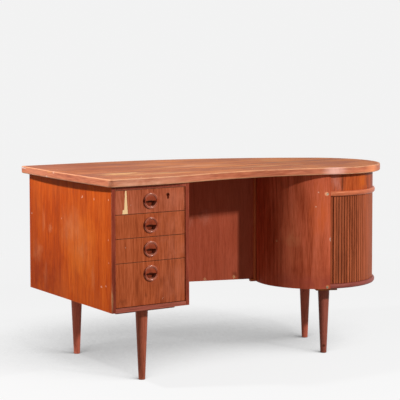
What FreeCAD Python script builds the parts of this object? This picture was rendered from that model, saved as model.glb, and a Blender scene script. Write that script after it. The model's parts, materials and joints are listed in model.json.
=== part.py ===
import FreeCAD, Part
import math
import os

# Tambour desk: a drawer pedestal on the left, a round tambour cabinet on the right and an open
# bookcase facing the back, all under one curved top. Lengths are millimetres and turns are degrees.
# The pedestal frame is square to the drawer fronts and starts at the front left foot of the pedestal
# walls. The bay frame is square to the modesty panel and starts on the axis of the round cabinet.

Vector = FreeCAD.Vector
Placement = FreeCAD.Placement
Rotation = FreeCAD.Rotation
UP = Vector(0, 0, 1)
ACROSS = Vector(1, 0, 0)
STRAIGHT = Rotation()
QUARTER_TURN = 90.0
HALF_TURN = 180.0
FULL_TURN = 360.0

SIZES = {
    # levels, from the floor up
    "leg_length": 252.7,
    "batten_thickness": 13.0,
    "pedestal_bottom_thickness": 15.0,
    "front_height_bottom": 153.0,
    "front_height_third": 84.0,
    "front_height_second": 82.5,
    "front_height_top": 83.8,
    "drawer_gap": 2.0,
    "top_rail_thickness": 13.0,
    "top_thickness": 26.5,
    # pedestal
    "pedestal_width": 316.0,
    "pedestal_depth": 654.6,
    "side_thickness": 15.0,
    "back_thickness": 9.0,
    "top_rail_depth": 60.0,
    "front_recess": 4.0,
    "board_ease": 1.2,
    # drawers
    "drawer_front_thickness": 18.0,
    "drawer_length": 540.0,
    "drawer_side_thickness": 12.0,
    "drawer_back_thickness": 10.0,
    "drawer_bottom_thickness": 4.0,
    "drawer_bottom_lift": 6.0,
    "bottom_groove_depth": 4.0,
    "panel_fit": 0.2,
    "box_lift": 4.0,
    "box_drop": 8.0,
    "drawer_back_drop": 4.0,
    "slide_clearance": 1.0,
    "runner_height": 14.0,
    "runner_reach": 7.0,
    "runner_clearance": 0.4,
    "groove_stop": 24.0,
    # turned pulls
    "pull_radius": 28.2,
    "pull_proud": 7.0,
    "pull_rim_width": 7.2,
    "pull_dish": 3.2,
    "pull_spigot_radius": 26.0,
    "pull_spigot_depth": 15.0,
    "pull_fit": 0.15,
    "pull_hollow": 1.8,
    "pull_lid_thickness": 4.2,
    "pull_wall": 5.2,
    "pull_floor": 3.4,
    "pull_lid_overlap": 0.6,
    "pull_drop": 41.5,
    # lock of the top drawer
    "keyhole_across_share": 0.73,
    "keyhole_drop": 24.5,
    "keyhole_radius": 5.2,
    "keyhole_slot_width": 6.4,
    "keyhole_slot_drop": 13.5,
    "lock_width": 44.0,
    "lock_depth": 13.0,
    "lock_height": 52.0,
    "lock_top_gap": 3.0,
    "bolt_width": 18.0,
    "bolt_thickness": 6.0,
    "bolt_hold": 6.0,
    "bolt_fit": 0.3,
    "bolt_travel": 9.0,
    "mortise_clearance": 1.0,
    # top
    "lipping_width": 9.0,
    "rim_top_round": 3.0,
    "rim_under_round": 5.0,
    "corner_round": 18.0,
    "left_overhang": 17.0,
    "left_bow": 9.0,
    "front_overhang": 20.6,
    "back_overhang": 44.6,
    "end_overhang": 20.2,
    "front_straight_reach": 176.0,
    "shoulder_radius": 900.0,
    "knee_radius": 1180.0,
    "back_radius": 1650.0,
    # round cabinet
    "cabinet_across": 1033.4,
    "cabinet_depth_in": 204.4,
    "bay_turn": 17.2,
    "cabinet_radius": 239.0,
    "cabinet_bottom_thickness": 18.0,
    "middle_plate_thickness": 19.6,
    "plate_edge_round": 7.0,
    "frieze_height": 66.4,
    "frieze_thickness": 7.0,
    "band_set_back": 8.6,
    "shell_thickness": 7.0,
    "shell_edge_angle": -95.0,
    "rear_edge_angle": 55.0,
    "band_tuck": 7.0,
    "post_size": 18.0,
    "post_clearance": 3.0,
    "post_angle_rear": 62.0,
    "post_angle_back": 130.0,
    "post_angle_left": 200.0,
    "stop_clearance": 0.5,
    "cabinet_shelf_thickness": 15.0,
    "cabinet_shelf_share": 0.5,
    "shelf_edge_gap": 1.0,
    # tambour
    "slat_width": 11.4,
    "slat_gap": 0.7,
    "slat_thickness": 7.0,
    "slat_crown": 1.6,
    "slat_end_gap": 1.0,
    "tongue_thickness": 4.0,
    "tongue_length": 7.0,
    "track_side_gap": 0.5,
    "track_end_gap": 0.5,
    "canvas_thickness": 0.8,
    "canvas_margin": 14.0,
    "canvas_gap": 0.05,
    "lead_stile_width": 23.5,
    "lead_stile_thickness": 20.0,
    "finger_groove_radius": 2.8,
    "finger_groove_depth": 4.2,
    "tambour_overlap": 8.0,
    "tambour_grip": 30.0,
    # modesty panel and bookcase
    "modesty_set_back": 22.0,
    "modesty_thickness": 12.0,
    "modesty_lift": 8.8,
    "shell_gap": 0.8,
    "bead_width": 9.0,
    "bead_foot_width": 22.0,
    "bookcase_side_thickness": 14.0,
    "bookcase_bottom_thickness": 16.0,
    "bookcase_shelf_thickness": 15.0,
    "bookcase_shelf_inset": 10.0,
    "bookcase_shelf_share": 0.5,
    "shelf_fit": 0.5,
    "pin_radius": 3.0,
    "pin_reach": 10.0,
    "pin_hold": 8.0,
    "pin_fit": 0.1,
    "pin_front_share": 0.2,
    "pin_back_share": 0.8,
    # legs
    "leg_top_radius": 22.8,
    "leg_foot_radius": 12.0,
    "leg_foot_round": 2.5,
    "pedestal_leg_across": 161.0,
    "pedestal_leg_inset": 75.0,
    "pedestal_batten_width": 240.0,
    "pedestal_batten_reach": 30.0,
    "cabinet_leg_spread": 145.8,
    "cabinet_leg_turn": 5.3,
    "cabinet_batten_width": 82.0,
    "cabinet_batten_reach": 48.0,
    "leg_bolt_radius": 4.0,
    "leg_bolt_in_leg": 30.0,
    "leg_bolt_in_board": 10.0,
    "leg_bolt_fit": 0.15,
    # screws at the edge of the front shell
    "screw_head_radius": 4.5,
    "screw_head_depth": 3.0,
    "screw_shank_radius": 2.2,
    "screw_length": 22.0,
    "screw_fit": 0.15,
    "screw_edge_distance": 12.2,
    "screw_lift": 6.6,
}

DRAWERS = (
    ("drawer_1", "front_height_top"),
    ("drawer_2", "front_height_second"),
    ("drawer_3", "front_height_third"),
    ("drawer_4", "front_height_bottom"),
)

doc = FreeCAD.newDocument("tambour_desk")
sheet = doc.addObject("Spreadsheet::Sheet", "Sizes")
for row, (alias, amount) in enumerate(SIZES.items(), start=1):
    sheet.set(f"A{row}", alias)
    sheet.set(f"B{row}", str(amount))
    sheet.setAlias(f"B{row}", alias)
doc.recompute()


class Size:
    """Gives the spreadsheet's numbers by name."""

    def __getattr__(self, alias):
        return float(getattr(sheet, alias))


size = Size()
nodes = {}


def keep(label, piece):
    """Labels a finished piece and lists it for writing."""
    piece.Label = label
    nodes[label] = piece
    return piece


def at(x, y, z):
    """A placement that only moves."""
    return Placement(Vector(x, y, z), STRAIGHT)


def polar(radius, angle):
    """A point of the plan at a radius and an angle in degrees."""
    turn = math.radians(angle)
    return Vector(radius * math.cos(turn), radius * math.sin(turn), 0)


def arc_angle(length, radius):
    """The angle in degrees of a length measured along a circle."""
    return math.degrees(length / radius)


def line(start, end):
    return Part.LineSegment(start, end)


def arc(start, middle, end):
    """An arc through three points, always turning to the left."""
    turn = (middle - start).cross(end - middle).z
    return Part.Arc(start, middle, end) if turn > 0 else Part.Arc(end, middle, start)


def round_arc(radius, start_angle, end_angle, centre=Vector()):
    """An arc of a circle between two angles in degrees."""
    middle = (start_angle + end_angle) / 2
    return arc(
        centre + polar(radius, start_angle),
        centre + polar(radius, middle),
        centre + polar(radius, end_angle),
    )


def loop(points):
    """Straight lines through the points, closed."""
    return [line(start, end) for start, end in zip(points, points[1:] + points[:1])]


def sector(inner, outer, start_angle, end_angle):
    """A piece of a ring in plan."""
    return [
        round_arc(outer, start_angle, end_angle),
        line(polar(outer, end_angle), polar(inner, end_angle)),
        round_arc(inner, start_angle, end_angle),
        line(polar(inner, start_angle), polar(outer, start_angle)),
    ]


def sketch_in(body, role, geometry):
    """A sketch on one of the body's own origin planes."""
    sketch = body.newObject("Sketcher::SketchObject", body.Name + "_sketch")
    plane = [feature for feature in body.Origin.OriginFeatures if feature.Role == role][0]
    sketch.AttachmentSupport = [(plane, "")]
    sketch.MapMode = "FlatFace"
    sketch.addGeometry(geometry)
    return sketch


def padded(label, geometry, height, placement):
    """A body raised from a plan sketch; the height is an expression."""
    body = doc.addObject("PartDesign::Body", label)
    pad = body.newObject("PartDesign::Pad", label + "_pad")
    pad.Profile = sketch_in(body, "XY_Plane", geometry)
    pad.setExpression("Length", height)
    body.Placement = placement
    doc.recompute()
    return body


def raised(body, geometry, level, height):
    """Adds a second pad to a body, from a level given as an expression."""
    sketch = sketch_in(body, "XY_Plane", geometry)
    sketch.setExpression("AttachmentOffset.Base.z", level)
    pad = body.newObject("PartDesign::Pad", body.Name + "_raised")
    pad.Profile = sketch
    pad.setExpression("Length", height)
    doc.recompute()
    return pad


def pocketed(body, geometry, level, depth, upward=False):
    """Cuts a pocket into a body from a level, downward unless told upward."""
    sketch = sketch_in(body, "XY_Plane", geometry)
    sketch.setExpression("AttachmentOffset.Base.z", level)
    pocket = body.newObject("PartDesign::Pocket", body.Name + "_pocket")
    pocket.Profile = sketch
    pocket.setExpression("Length", depth)
    pocket.Reversed = upward
    doc.recompute()
    return pocket


def turned(label, geometry, placement):
    """A body turned about its own upright axis from a half profile."""
    body = doc.addObject("PartDesign::Body", label)
    sketch = sketch_in(body, "XZ_Plane", geometry)
    revolution = body.newObject("PartDesign::Revolution", label + "_turning")
    revolution.Profile = sketch
    revolution.ReferenceAxis = (sketch, ["V_Axis"])
    revolution.Angle = FULL_TURN
    body.Placement = placement
    doc.recompute()
    return body


def rounded(body, chosen, radius):
    """Rounds the chosen edges of a body; the radius is an expression."""
    last = body.Tip
    edges = [f"Edge{index}" for index, edge in enumerate(last.Shape.Edges, start=1) if chosen(edge)]
    fillet = body.newObject("PartDesign::Fillet", body.Name + "_round")
    fillet.Base = (last, edges)
    fillet.setExpression("Radius", radius)
    body.Tip = fillet
    doc.recompute()
    return fillet


def board(label, length, width, height, placement):
    """A plain board; its three sizes are expressions."""
    box = doc.addObject("Part::Box", label)
    box.setExpression("Length", length)
    box.setExpression("Width", width)
    box.setExpression("Height", height)
    box.Placement = placement
    return box


def rod(label, radius, length, placement):
    """A plain round rod along its own upright axis; its sizes are expressions."""
    cylinder = doc.addObject("Part::Cylinder", label)
    cylinder.setExpression("Radius", radius)
    cylinder.setExpression("Height", length)
    cylinder.Placement = placement
    return cylinder


def eased(label, base, chosen, radius):
    """Rounds over the chosen edges of a board."""
    doc.recompute()
    edges = [
        (index, radius, radius)
        for index, edge in enumerate(base.Shape.Edges, start=1)
        if chosen(base.Placement.inverse().multVec(edge.CenterOfMass))
    ]
    fillet = doc.addObject("Part::Fillet", label)
    fillet.Base = base
    fillet.Edges = edges
    return fillet


def cut(label, base, tools):
    """Takes the tools out of a base piece."""
    tool = tools[0]
    if len(tools) > 1:
        tool = doc.addObject("Part::MultiFuse", label + "_tools")
        tool.Shapes = tools
    piece = doc.addObject("Part::Cut", label)
    piece.Base = base
    piece.Tool = tool
    return piece


def group(label, members):
    """Several separate solids in one node."""
    compound = doc.addObject("Part::Compound", label)
    compound.Links = members
    return compound


# Levels and frames.
base_level = size.leg_length + size.batten_thickness
fronts_height = sum(getattr(size, alias) for _, alias in DRAWERS)
gap_count = len(DRAWERS) + 1
carcass_height = (
    size.pedestal_bottom_thickness + fronts_height + gap_count * size.drawer_gap + size.top_rail_thickness
)
under_top = base_level + carcass_height
CARCASS_HEIGHT = (
    "(Sizes.pedestal_bottom_thickness + Sizes.front_height_top + Sizes.front_height_second"
    " + Sizes.front_height_third + Sizes.front_height_bottom"
    f" + {gap_count} * Sizes.drawer_gap + Sizes.top_rail_thickness)"
)
inner_width = size.pedestal_width - 2 * size.side_thickness
INNER_WIDTH = "(Sizes.pedestal_width - 2 * Sizes.side_thickness)"
axis = Vector(size.cabinet_across, size.cabinet_depth_in, 0)


# Outline of the top in the pedestal frame, as tangent arcs.
end_radius = size.cabinet_radius + size.end_overhang
back_line = size.pedestal_depth + size.back_overhang
front_left = Vector(-size.left_overhang, -size.front_overhang, 0)
back_left = Vector(-size.left_overhang, back_line, 0)
left_middle = Vector(-size.left_overhang - size.left_bow, (front_left.y + back_left.y) / 2, 0)
shoulder_start = Vector(size.front_straight_reach, -size.front_overhang, 0)
shoulder_centre = shoulder_start + Vector(0, size.shoulder_radius, 0)


def meeting_circle(first, first_reach, second, second_reach):
    """The point at both reaches from two centres, on the right hand side of the way between them."""
    way = second - first
    span = way.Length
    along = (first_reach**2 - second_reach**2 + span**2) / (2 * span)
    aside = math.sqrt(first_reach**2 - along**2)
    ahead = way / span
    return first + ahead * along + Vector(ahead.y, -ahead.x, 0) * aside


knee_centre = meeting_circle(
    shoulder_centre, size.shoulder_radius + size.knee_radius, axis, end_radius + size.knee_radius
)
shoulder_end = shoulder_centre + (knee_centre - shoulder_centre).normalize() * size.shoulder_radius
knee_end = axis + (knee_centre - axis).normalize() * end_radius
back_centre_drop = size.back_radius - (back_line - axis.y)
back_centre = Vector(
    axis.x - math.sqrt((size.back_radius - end_radius) ** 2 - back_centre_drop**2),
    back_line - size.back_radius,
    0,
)
back_start = back_centre + (axis - back_centre).normalize() * size.back_radius
back_end = Vector(back_centre.x, back_line, 0)


def between(centre, start, end):
    """The point half way along the shorter arc from start to end."""
    half_way = ((start - centre) + (end - centre)).normalize()
    return centre + half_way * (start - centre).Length


end_ways = [point - axis for point in (knee_end, back_start)]
end_angles = [math.degrees(math.atan2(way.y, way.x)) for way in end_ways]
top_outline = [
    line(front_left, shoulder_start),
    arc(shoulder_start, between(shoulder_centre, shoulder_start, shoulder_end), shoulder_end),
    arc(shoulder_end, between(knee_centre, shoulder_end, knee_end), knee_end),
    round_arc(end_radius, end_angles[0], end_angles[1], axis),
    arc(back_start, between(back_centre, back_start, back_end), back_end),
    line(back_end, back_left),
    arc(back_left, left_middle, front_left),
]
top_face = Part.Face(Part.Wire(Part.__sortEdges__([edge.toShape() for edge in top_outline])))
top_box = top_face.BoundBox
pedestal = at(-top_box.Center.x, -top_box.Center.y, 0)
bay = pedestal * Placement(axis, Rotation(UP, -size.bay_turn))


def edge_geometry(edge):
    """The sketch line or arc that matches an edge."""
    start, end = edge.valueAt(edge.FirstParameter), edge.valueAt(edge.LastParameter)
    if isinstance(edge.Curve, Part.Line):
        return line(start, end)
    return arc(start, edge.valueAt((edge.FirstParameter + edge.LastParameter) / 2), end)


# Top: a veneered panel inside a solid wood edge band.
inner_outline = [edge_geometry(edge) for edge in top_face.makeOffset2D(-size.lipping_width).Edges]
inner_shape = Part.Wire(Part.__sortEdges__([edge.toShape() for edge in inner_outline]))
top_place = pedestal * at(0, 0, under_top)
keep("top_panel", padded("top_panel", inner_outline, "Sizes.top_thickness", top_place))
band = padded("top_edge_band", top_outline + inner_outline, "Sizes.top_thickness", top_place)
corners = (front_left, back_left)


def is_corner(edge):
    """An upright edge at one of the two corners of the top."""
    middle = edge.CenterOfMass
    spot = Vector(middle.x, middle.y, 0)
    return any((spot - corner).Length < size.lipping_width / 2 for corner in corners)


def is_outer_rim(level):
    """Picks the outer edges of the band at a level."""
    def chosen(edge):
        middle = edge.valueAt((edge.FirstParameter + edge.LastParameter) / 2)
        flat = abs(edge.BoundBox.ZLength) < size.panel_fit and abs(middle.z - level) < size.panel_fit
        spot = Part.Vertex(middle.x, middle.y, 0)
        return flat and spot.distToShape(inner_shape)[0] > size.lipping_width / 4
    return chosen


rounded(band, is_corner, "Sizes.corner_round")
rounded(band, is_outer_rim(size.top_thickness), "Sizes.rim_top_round")
rounded(band, is_outer_rim(0), "Sizes.rim_under_round")
keep("top_edge_band", band)


# Pedestal walls.
def front_uprights(spot):
    """The two upright edges at the front of a side board."""
    return abs(spot.y) < size.panel_fit and abs(spot.z - carcass_height / 2) < size.panel_fit


def side_board(label, across):
    blank = board(
        label + "_board", "Sizes.side_thickness", "Sizes.pedestal_depth", CARCASS_HEIGHT,
        pedestal * at(across, 0, base_level),
    )
    return eased(label, blank, front_uprights, size.board_ease)


right_side_across = size.pedestal_width - size.side_thickness
keep("pedestal_left_side", side_board("pedestal_left_side", 0))
right_side = side_board("pedestal_right_blank", right_side_across)

# Plan lines of the bay, in the bay frame.
to_bay = Placement(axis, Rotation(UP, -size.bay_turn)).inverse()
wall_point = to_bay.multVec(Vector(size.pedestal_width, 0, 0))
wall_way = to_bay.Rotation.multVec(Vector(0, 1, 0))
rear_centre = to_bay.multVec(back_centre)
rear_radius = size.back_radius - size.back_overhang
modesty_front = size.modesty_set_back
modesty_back = modesty_front + size.modesty_thickness
end_panel_right = -(size.cabinet_radius + size.shell_gap)
end_panel_left = end_panel_right - size.bookcase_side_thickness
modesty_level = base_level + size.modesty_lift
BAY_HEIGHT = f"({CARCASS_HEIGHT} - Sizes.modesty_lift)"


def on_wall(depth):
    """The point of the pedestal's right wall at a depth of the bay."""
    return wall_point + wall_way * ((depth - wall_point.y) / wall_way.y)


def on_rear(across, inset=0):
    """The point of the rear curve at a place across the bay."""
    reach = rear_radius - inset
    return Vector(across, rear_centre.y + math.sqrt(reach**2 - (across - rear_centre.x) ** 2), 0)


def wall_at_rear(inset=0):
    """The point where the pedestal's right wall meets the rear curve."""
    offset = wall_point - rear_centre
    half = offset.dot(wall_way)
    reach = rear_radius - inset
    return wall_point + wall_way * (-half + math.sqrt(half**2 - offset.dot(offset) + reach**2))


# Shelf pins of the bookcase, two in each wall.
shelf_gap = under_top - modesty_level - size.bookcase_bottom_thickness
bookcase_shelf_level = (
    modesty_level + size.bookcase_bottom_thickness + size.bookcase_shelf_share * shelf_gap
)
pin_level = bookcase_shelf_level - size.pin_radius
PIN_LENGTH = "(Sizes.pin_reach + Sizes.pin_hold)"
HOLE_RADIUS = "(Sizes.pin_radius + Sizes.pin_fit)"
shares = (size.pin_front_share, size.pin_back_share)
facing_across = Rotation(Vector(0, 1, 0), QUARTER_TURN)
from_bay = to_bay.inverse()
wall_reach = [from_bay.multVec(point).y for point in (on_wall(modesty_back), wall_at_rear())]
pin_places = []
wall_tools = []
end_tools = []
for share in shares:
    depth = wall_reach[0] + share * (wall_reach[1] - wall_reach[0])
    spot = pedestal * Placement(Vector(size.pedestal_width - size.pin_hold, depth, pin_level), facing_across)
    pin_places.append(spot)
    wall_tools.append(rod("wall_pin_hole", HOLE_RADIUS, PIN_LENGTH, spot))
end_depth = on_rear(end_panel_left).y - modesty_back
for share in shares:
    depth = modesty_back + share * end_depth
    spot = bay * Placement(Vector(end_panel_left - size.pin_reach, depth, pin_level), facing_across)
    pin_places.append(spot)
    end_tools.append(rod("end_pin_hole", HOLE_RADIUS, PIN_LENGTH, spot))

keep("pedestal_right_side", cut("pedestal_right_side", right_side, wall_tools))


def leg_holes(name, spots, frame):
    """Tools for the bolt holes above each leg."""
    level = size.leg_length - size.leg_bolt_in_leg
    length = "Sizes.leg_bolt_in_leg + Sizes.batten_thickness + Sizes.leg_bolt_in_board"
    return [
        rod(name, "Sizes.leg_bolt_radius + Sizes.leg_bolt_fit", length, frame * at(spot.x, spot.y, level))
        for spot in spots
    ]


pedestal_legs = [
    Vector(size.pedestal_leg_across, size.pedestal_leg_inset, 0),
    Vector(size.pedestal_leg_across, size.pedestal_depth - size.pedestal_leg_inset, 0),
]
leg_frame = bay * Placement(Vector(), Rotation(UP, -size.cabinet_leg_turn))
cabinet_legs = [Vector(0, -size.cabinet_leg_spread, 0), Vector(0, size.cabinet_leg_spread, 0)]

bottom_blank = board(
    "pedestal_bottom_board", INNER_WIDTH, "Sizes.pedestal_depth - Sizes.back_thickness",
    "Sizes.pedestal_bottom_thickness", pedestal * at(size.side_thickness, 0, base_level),
)
bottom_holes = leg_holes("bottom_hole", pedestal_legs, pedestal)
keep("pedestal_bottom", cut("pedestal_bottom", bottom_blank, bottom_holes))
rail_level = under_top - size.top_rail_thickness
rail_blank = board(
    "front_rail_board", INNER_WIDTH, "Sizes.top_rail_depth", "Sizes.top_rail_thickness",
    pedestal * at(size.side_thickness, 0, rail_level),
)
keep(
    "pedestal_rear_rail",
    board(
        "pedestal_rear_rail", INNER_WIDTH, "Sizes.top_rail_depth", "Sizes.top_rail_thickness",
        pedestal * at(
            size.side_thickness, size.pedestal_depth - size.back_thickness - size.top_rail_depth, rail_level
        ),
    ),
)
keep(
    "pedestal_back",
    board(
        "pedestal_back", INNER_WIDTH, "Sizes.back_thickness", CARCASS_HEIGHT,
        pedestal * at(size.side_thickness, size.pedestal_depth - size.back_thickness, base_level),
    ),
)


# Drawers, named from the top down and stacked from the bottom up.
box_front = size.front_recess + size.drawer_front_thickness
box_left = size.side_thickness + size.slide_clearance
box_right = size.pedestal_width - size.side_thickness - size.slide_clearance - size.drawer_side_thickness
facing_front = Rotation(ACROSS, QUARTER_TURN)
runners = []


def front_face_edges(spot):
    """The four edges of the face that looks out of the pedestal."""
    return abs(spot.y) < size.panel_fit


def pull_profile():
    """Half profile of a turned pull, outward up, with its spigot below the front."""
    rim_middle = size.pull_radius - size.pull_rim_width / 2
    inside = size.pull_radius - size.pull_rim_width
    spigot = size.pull_spigot_radius - size.pull_fit
    dish = size.pull_proud - size.pull_dish
    foot = Vector(0, -size.pull_spigot_depth, 0)
    spigot_foot = Vector(spigot, -size.pull_spigot_depth, 0)
    spigot_top = Vector(spigot, 0, 0)
    flange = Vector(size.pull_radius, 0, 0)
    rim_out = Vector(size.pull_radius, dish, 0)
    rim_in = Vector(inside, dish, 0)
    crown = Vector(rim_middle, size.pull_proud, 0)
    centre = Vector(0, dish - size.pull_hollow, 0)
    half_way_in = Vector(inside / 2, dish - size.pull_hollow + size.pull_hollow / 4, 0)
    return [
        line(foot, spigot_foot),
        line(spigot_foot, spigot_top),
        line(spigot_top, flange),
        line(flange, rim_out),
        arc(rim_out, crown, rim_in),
        arc(rim_in, half_way_in, centre),
        line(centre, foot),
    ]


def half_moon(radius, level):
    """A circle cut off straight at a level, keeping the lower part."""
    angle = math.degrees(math.asin(level / radius))
    low = HALF_TURN + QUARTER_TURN
    start = HALF_TURN - angle
    end = FULL_TURN + angle
    return [
        arc(polar(radius, start), polar(radius, low), polar(radius, end)),
        line(polar(radius, end), polar(radius, start)),
    ]


def make_pull(label, placement):
    """A turned disc with a finger pocket that runs up behind its lid."""
    body = turned(label, pull_profile(), placement)
    inside = size.pull_radius - size.pull_rim_width
    hollow = size.pull_spigot_radius - size.pull_fit - size.pull_wall
    opening = half_moon(min(inside, hollow), -size.pull_lid_overlap)
    reach_in = "Sizes.pull_spigot_depth - Sizes.pull_floor"
    pocketed(body, opening, "Sizes.pull_proud", f"Sizes.pull_proud + {reach_in}")
    behind = "Sizes.pull_proud - Sizes.pull_dish - Sizes.pull_hollow - Sizes.pull_lid_thickness"
    undercut = half_moon(min(inside, hollow), hollow / 2)
    pocketed(body, undercut, behind, f"{behind} + {reach_in}")
    return body


keyhole_across = size.keyhole_across_share * size.pedestal_width
lock_left = keyhole_across - size.lock_width / 2
level = base_level + size.pedestal_bottom_thickness
for name, alias in reversed(DRAWERS):
    level += size.drawer_gap
    height = getattr(size, alias)
    top_level = level + height
    HEIGHT = f"Sizes.{alias}"

    front_blank = board(
        name + "_front_board", f"{INNER_WIDTH} - 2 * Sizes.drawer_gap",
        "Sizes.drawer_front_thickness", HEIGHT,
        pedestal * at(size.side_thickness + size.drawer_gap, size.front_recess, level),
    )
    front = eased(name + "_front_eased", front_blank, front_face_edges, size.board_ease / 2)
    pull_level = top_level - min(size.pull_drop, height / 2)
    pull_place = pedestal * Placement(
        Vector(size.pedestal_width / 2, size.front_recess, pull_level), facing_front
    )
    bore_place = pull_place * at(0, 0, -size.pull_spigot_depth - size.pull_fit)
    front_tools = [
        rod(
            name + "_pull_bore", "Sizes.pull_spigot_radius", "Sizes.pull_spigot_depth + 2 * Sizes.pull_fit",
            bore_place,
        )
    ]
    if name == "drawer_1":
        keyhole_level = top_level - size.keyhole_drop
        keyhole_place = pedestal * Placement(Vector(keyhole_across, box_front, keyhole_level), facing_front)
        key_round = rod(
            "keyhole_round", "Sizes.keyhole_radius", "Sizes.drawer_front_thickness", keyhole_place
        )
        key_slot = board(
            "keyhole_slot", "Sizes.keyhole_slot_width", "Sizes.drawer_front_thickness",
            "Sizes.keyhole_slot_drop",
            pedestal * at(
                keyhole_across - size.keyhole_slot_width / 2, size.front_recess,
                keyhole_level - size.keyhole_slot_drop,
            ),
        )
        front_tools += [key_round, key_slot]
    keep(name + "_front", cut(name + "_front", front, front_tools))
    keep(name + "_pull", make_pull(name + "_pull", pull_place))

    box_level = level + size.box_lift
    BOX_HEIGHT = f"{HEIGHT} - Sizes.box_lift - Sizes.box_drop"
    runner_level = level + (height - size.runner_height) / 2
    groove_level = runner_level - size.runner_clearance
    GROOVE_HEIGHT = "Sizes.runner_height + 2 * Sizes.runner_clearance"
    GROOVE_LENGTH = "Sizes.drawer_length - Sizes.groove_stop"
    GROOVE_DEPTH = "Sizes.runner_reach"
    panel_level = box_level + size.drawer_bottom_lift
    PANEL_SLOT = "Sizes.drawer_bottom_thickness + 2 * Sizes.panel_fit"
    groove_start = box_front + size.groove_stop
    sides = (
        ("_left_side", box_left, box_left, box_left + size.drawer_side_thickness - size.bottom_groove_depth),
        (
            "_right_side", box_right, box_right + size.drawer_side_thickness - size.runner_reach, box_right,
        ),
    )
    for suffix, across, groove_across, slot_across in sides:
        blank = board(
            name + suffix + "_board", "Sizes.drawer_side_thickness", "Sizes.drawer_length", BOX_HEIGHT,
            pedestal * at(across, box_front, box_level),
        )
        groove = board(
            name + suffix + "_groove", GROOVE_DEPTH, GROOVE_LENGTH, GROOVE_HEIGHT,
            pedestal * at(groove_across, groove_start, groove_level),
        )
        slot = board(
            name + suffix + "_slot", "Sizes.bottom_groove_depth", "Sizes.drawer_length", PANEL_SLOT,
            pedestal * at(slot_across, box_front, panel_level - size.panel_fit),
        )
        keep(name + suffix, cut(name + suffix, blank, [groove, slot]))

    BOX_INSIDE = f"({INNER_WIDTH} - 2 * Sizes.slide_clearance - 2 * Sizes.drawer_side_thickness)"
    panel_left = box_left + size.drawer_side_thickness - size.bottom_groove_depth + size.panel_fit
    keep(
        name + "_bottom",
        board(
            name + "_bottom", f"{BOX_INSIDE} + 2 * Sizes.bottom_groove_depth - 2 * Sizes.panel_fit",
            "Sizes.drawer_length", "Sizes.drawer_bottom_thickness",
            pedestal * at(panel_left, box_front, panel_level),
        ),
    )
    back_foot = panel_level + size.drawer_bottom_thickness
    keep(
        name + "_back",
        board(
            name + "_back", BOX_INSIDE, "Sizes.drawer_back_thickness",
            f"{BOX_HEIGHT} - Sizes.drawer_bottom_lift - Sizes.drawer_bottom_thickness"
            " - Sizes.drawer_back_drop",
            pedestal * at(
                box_left + size.drawer_side_thickness,
                box_front + size.drawer_length - size.drawer_back_thickness, back_foot,
            ),
        ),
    )
    runner_start = groove_start + size.runner_clearance
    for across in (size.side_thickness, size.pedestal_width - size.side_thickness - size.runner_reach):
        runners.append(
            board(
                name + "_runner", "Sizes.runner_reach",
                "Sizes.drawer_length - Sizes.groove_stop - Sizes.runner_clearance", "Sizes.runner_height",
                pedestal * at(across, runner_start, runner_level),
            )
        )
    level = top_level

keep("drawer_runners", group("drawer_runners", runners))

# Lock on the back of the top drawer front, and its mortise in the rail.
lock_top = level - size.lock_top_gap
case_blank = board(
    "lock_case_block", "Sizes.lock_width", "Sizes.lock_depth", "Sizes.lock_height",
    pedestal * at(lock_left, box_front, lock_top - size.lock_height),
)
bolt_left = keyhole_across - size.bolt_width / 2
bolt_front = box_front + (size.lock_depth - size.bolt_thickness) / 2
bolt_level = lock_top - size.bolt_hold - size.bolt_travel
BOLT_HEIGHT = "(Sizes.bolt_hold + Sizes.bolt_travel)"
bolt_channel = board(
    "lock_channel", "Sizes.bolt_width + 2 * Sizes.bolt_fit", "Sizes.bolt_thickness + 2 * Sizes.bolt_fit",
    f"{BOLT_HEIGHT} + Sizes.bolt_fit",
    pedestal * at(bolt_left - size.bolt_fit, bolt_front - size.bolt_fit, bolt_level - size.bolt_fit),
)
key_spot = Vector(keyhole_across, box_front + size.lock_depth / 2, keyhole_level)
key_bore = rod(
    "lock_key_bore", "Sizes.keyhole_radius", "Sizes.lock_depth / 2",
    pedestal * Placement(key_spot, facing_front),
)
keep("lock_case", cut("lock_case", case_blank, [bolt_channel, key_bore]))
keep(
    "lock_bolt",
    board(
        "lock_bolt", "Sizes.bolt_width", "Sizes.bolt_thickness", BOLT_HEIGHT,
        pedestal * at(bolt_left, bolt_front, bolt_level),
    ),
)
mortise = board(
    "rail_mortise", "Sizes.bolt_width + 2 * Sizes.mortise_clearance",
    "Sizes.bolt_thickness + 2 * Sizes.mortise_clearance", "Sizes.top_rail_thickness",
    pedestal * at(bolt_left - size.mortise_clearance, bolt_front - size.mortise_clearance, rail_level),
)
keep("pedestal_front_rail", cut("pedestal_front_rail", rail_blank, [mortise]))


# Modesty panel and bookcase, in the bay frame.
modesty_plan = loop(
    [
        on_wall(modesty_front),
        Vector(end_panel_right, modesty_front, 0),
        Vector(end_panel_right, modesty_back, 0),
        on_wall(modesty_back),
    ]
)
bay_place = bay * at(0, 0, modesty_level)
keep("modesty_panel", padded("modesty_panel", modesty_plan, BAY_HEIGHT, bay_place))
end_plan = loop(
    [
        Vector(end_panel_left, modesty_back, 0),
        Vector(end_panel_right, modesty_back, 0),
        on_rear(end_panel_right),
        on_rear(end_panel_left),
    ]
)
end_blank = padded("bookcase_end_board", end_plan, BAY_HEIGHT, bay_place)
keep("bookcase_end_panel", cut("bookcase_end_panel", end_blank, end_tools))


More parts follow.
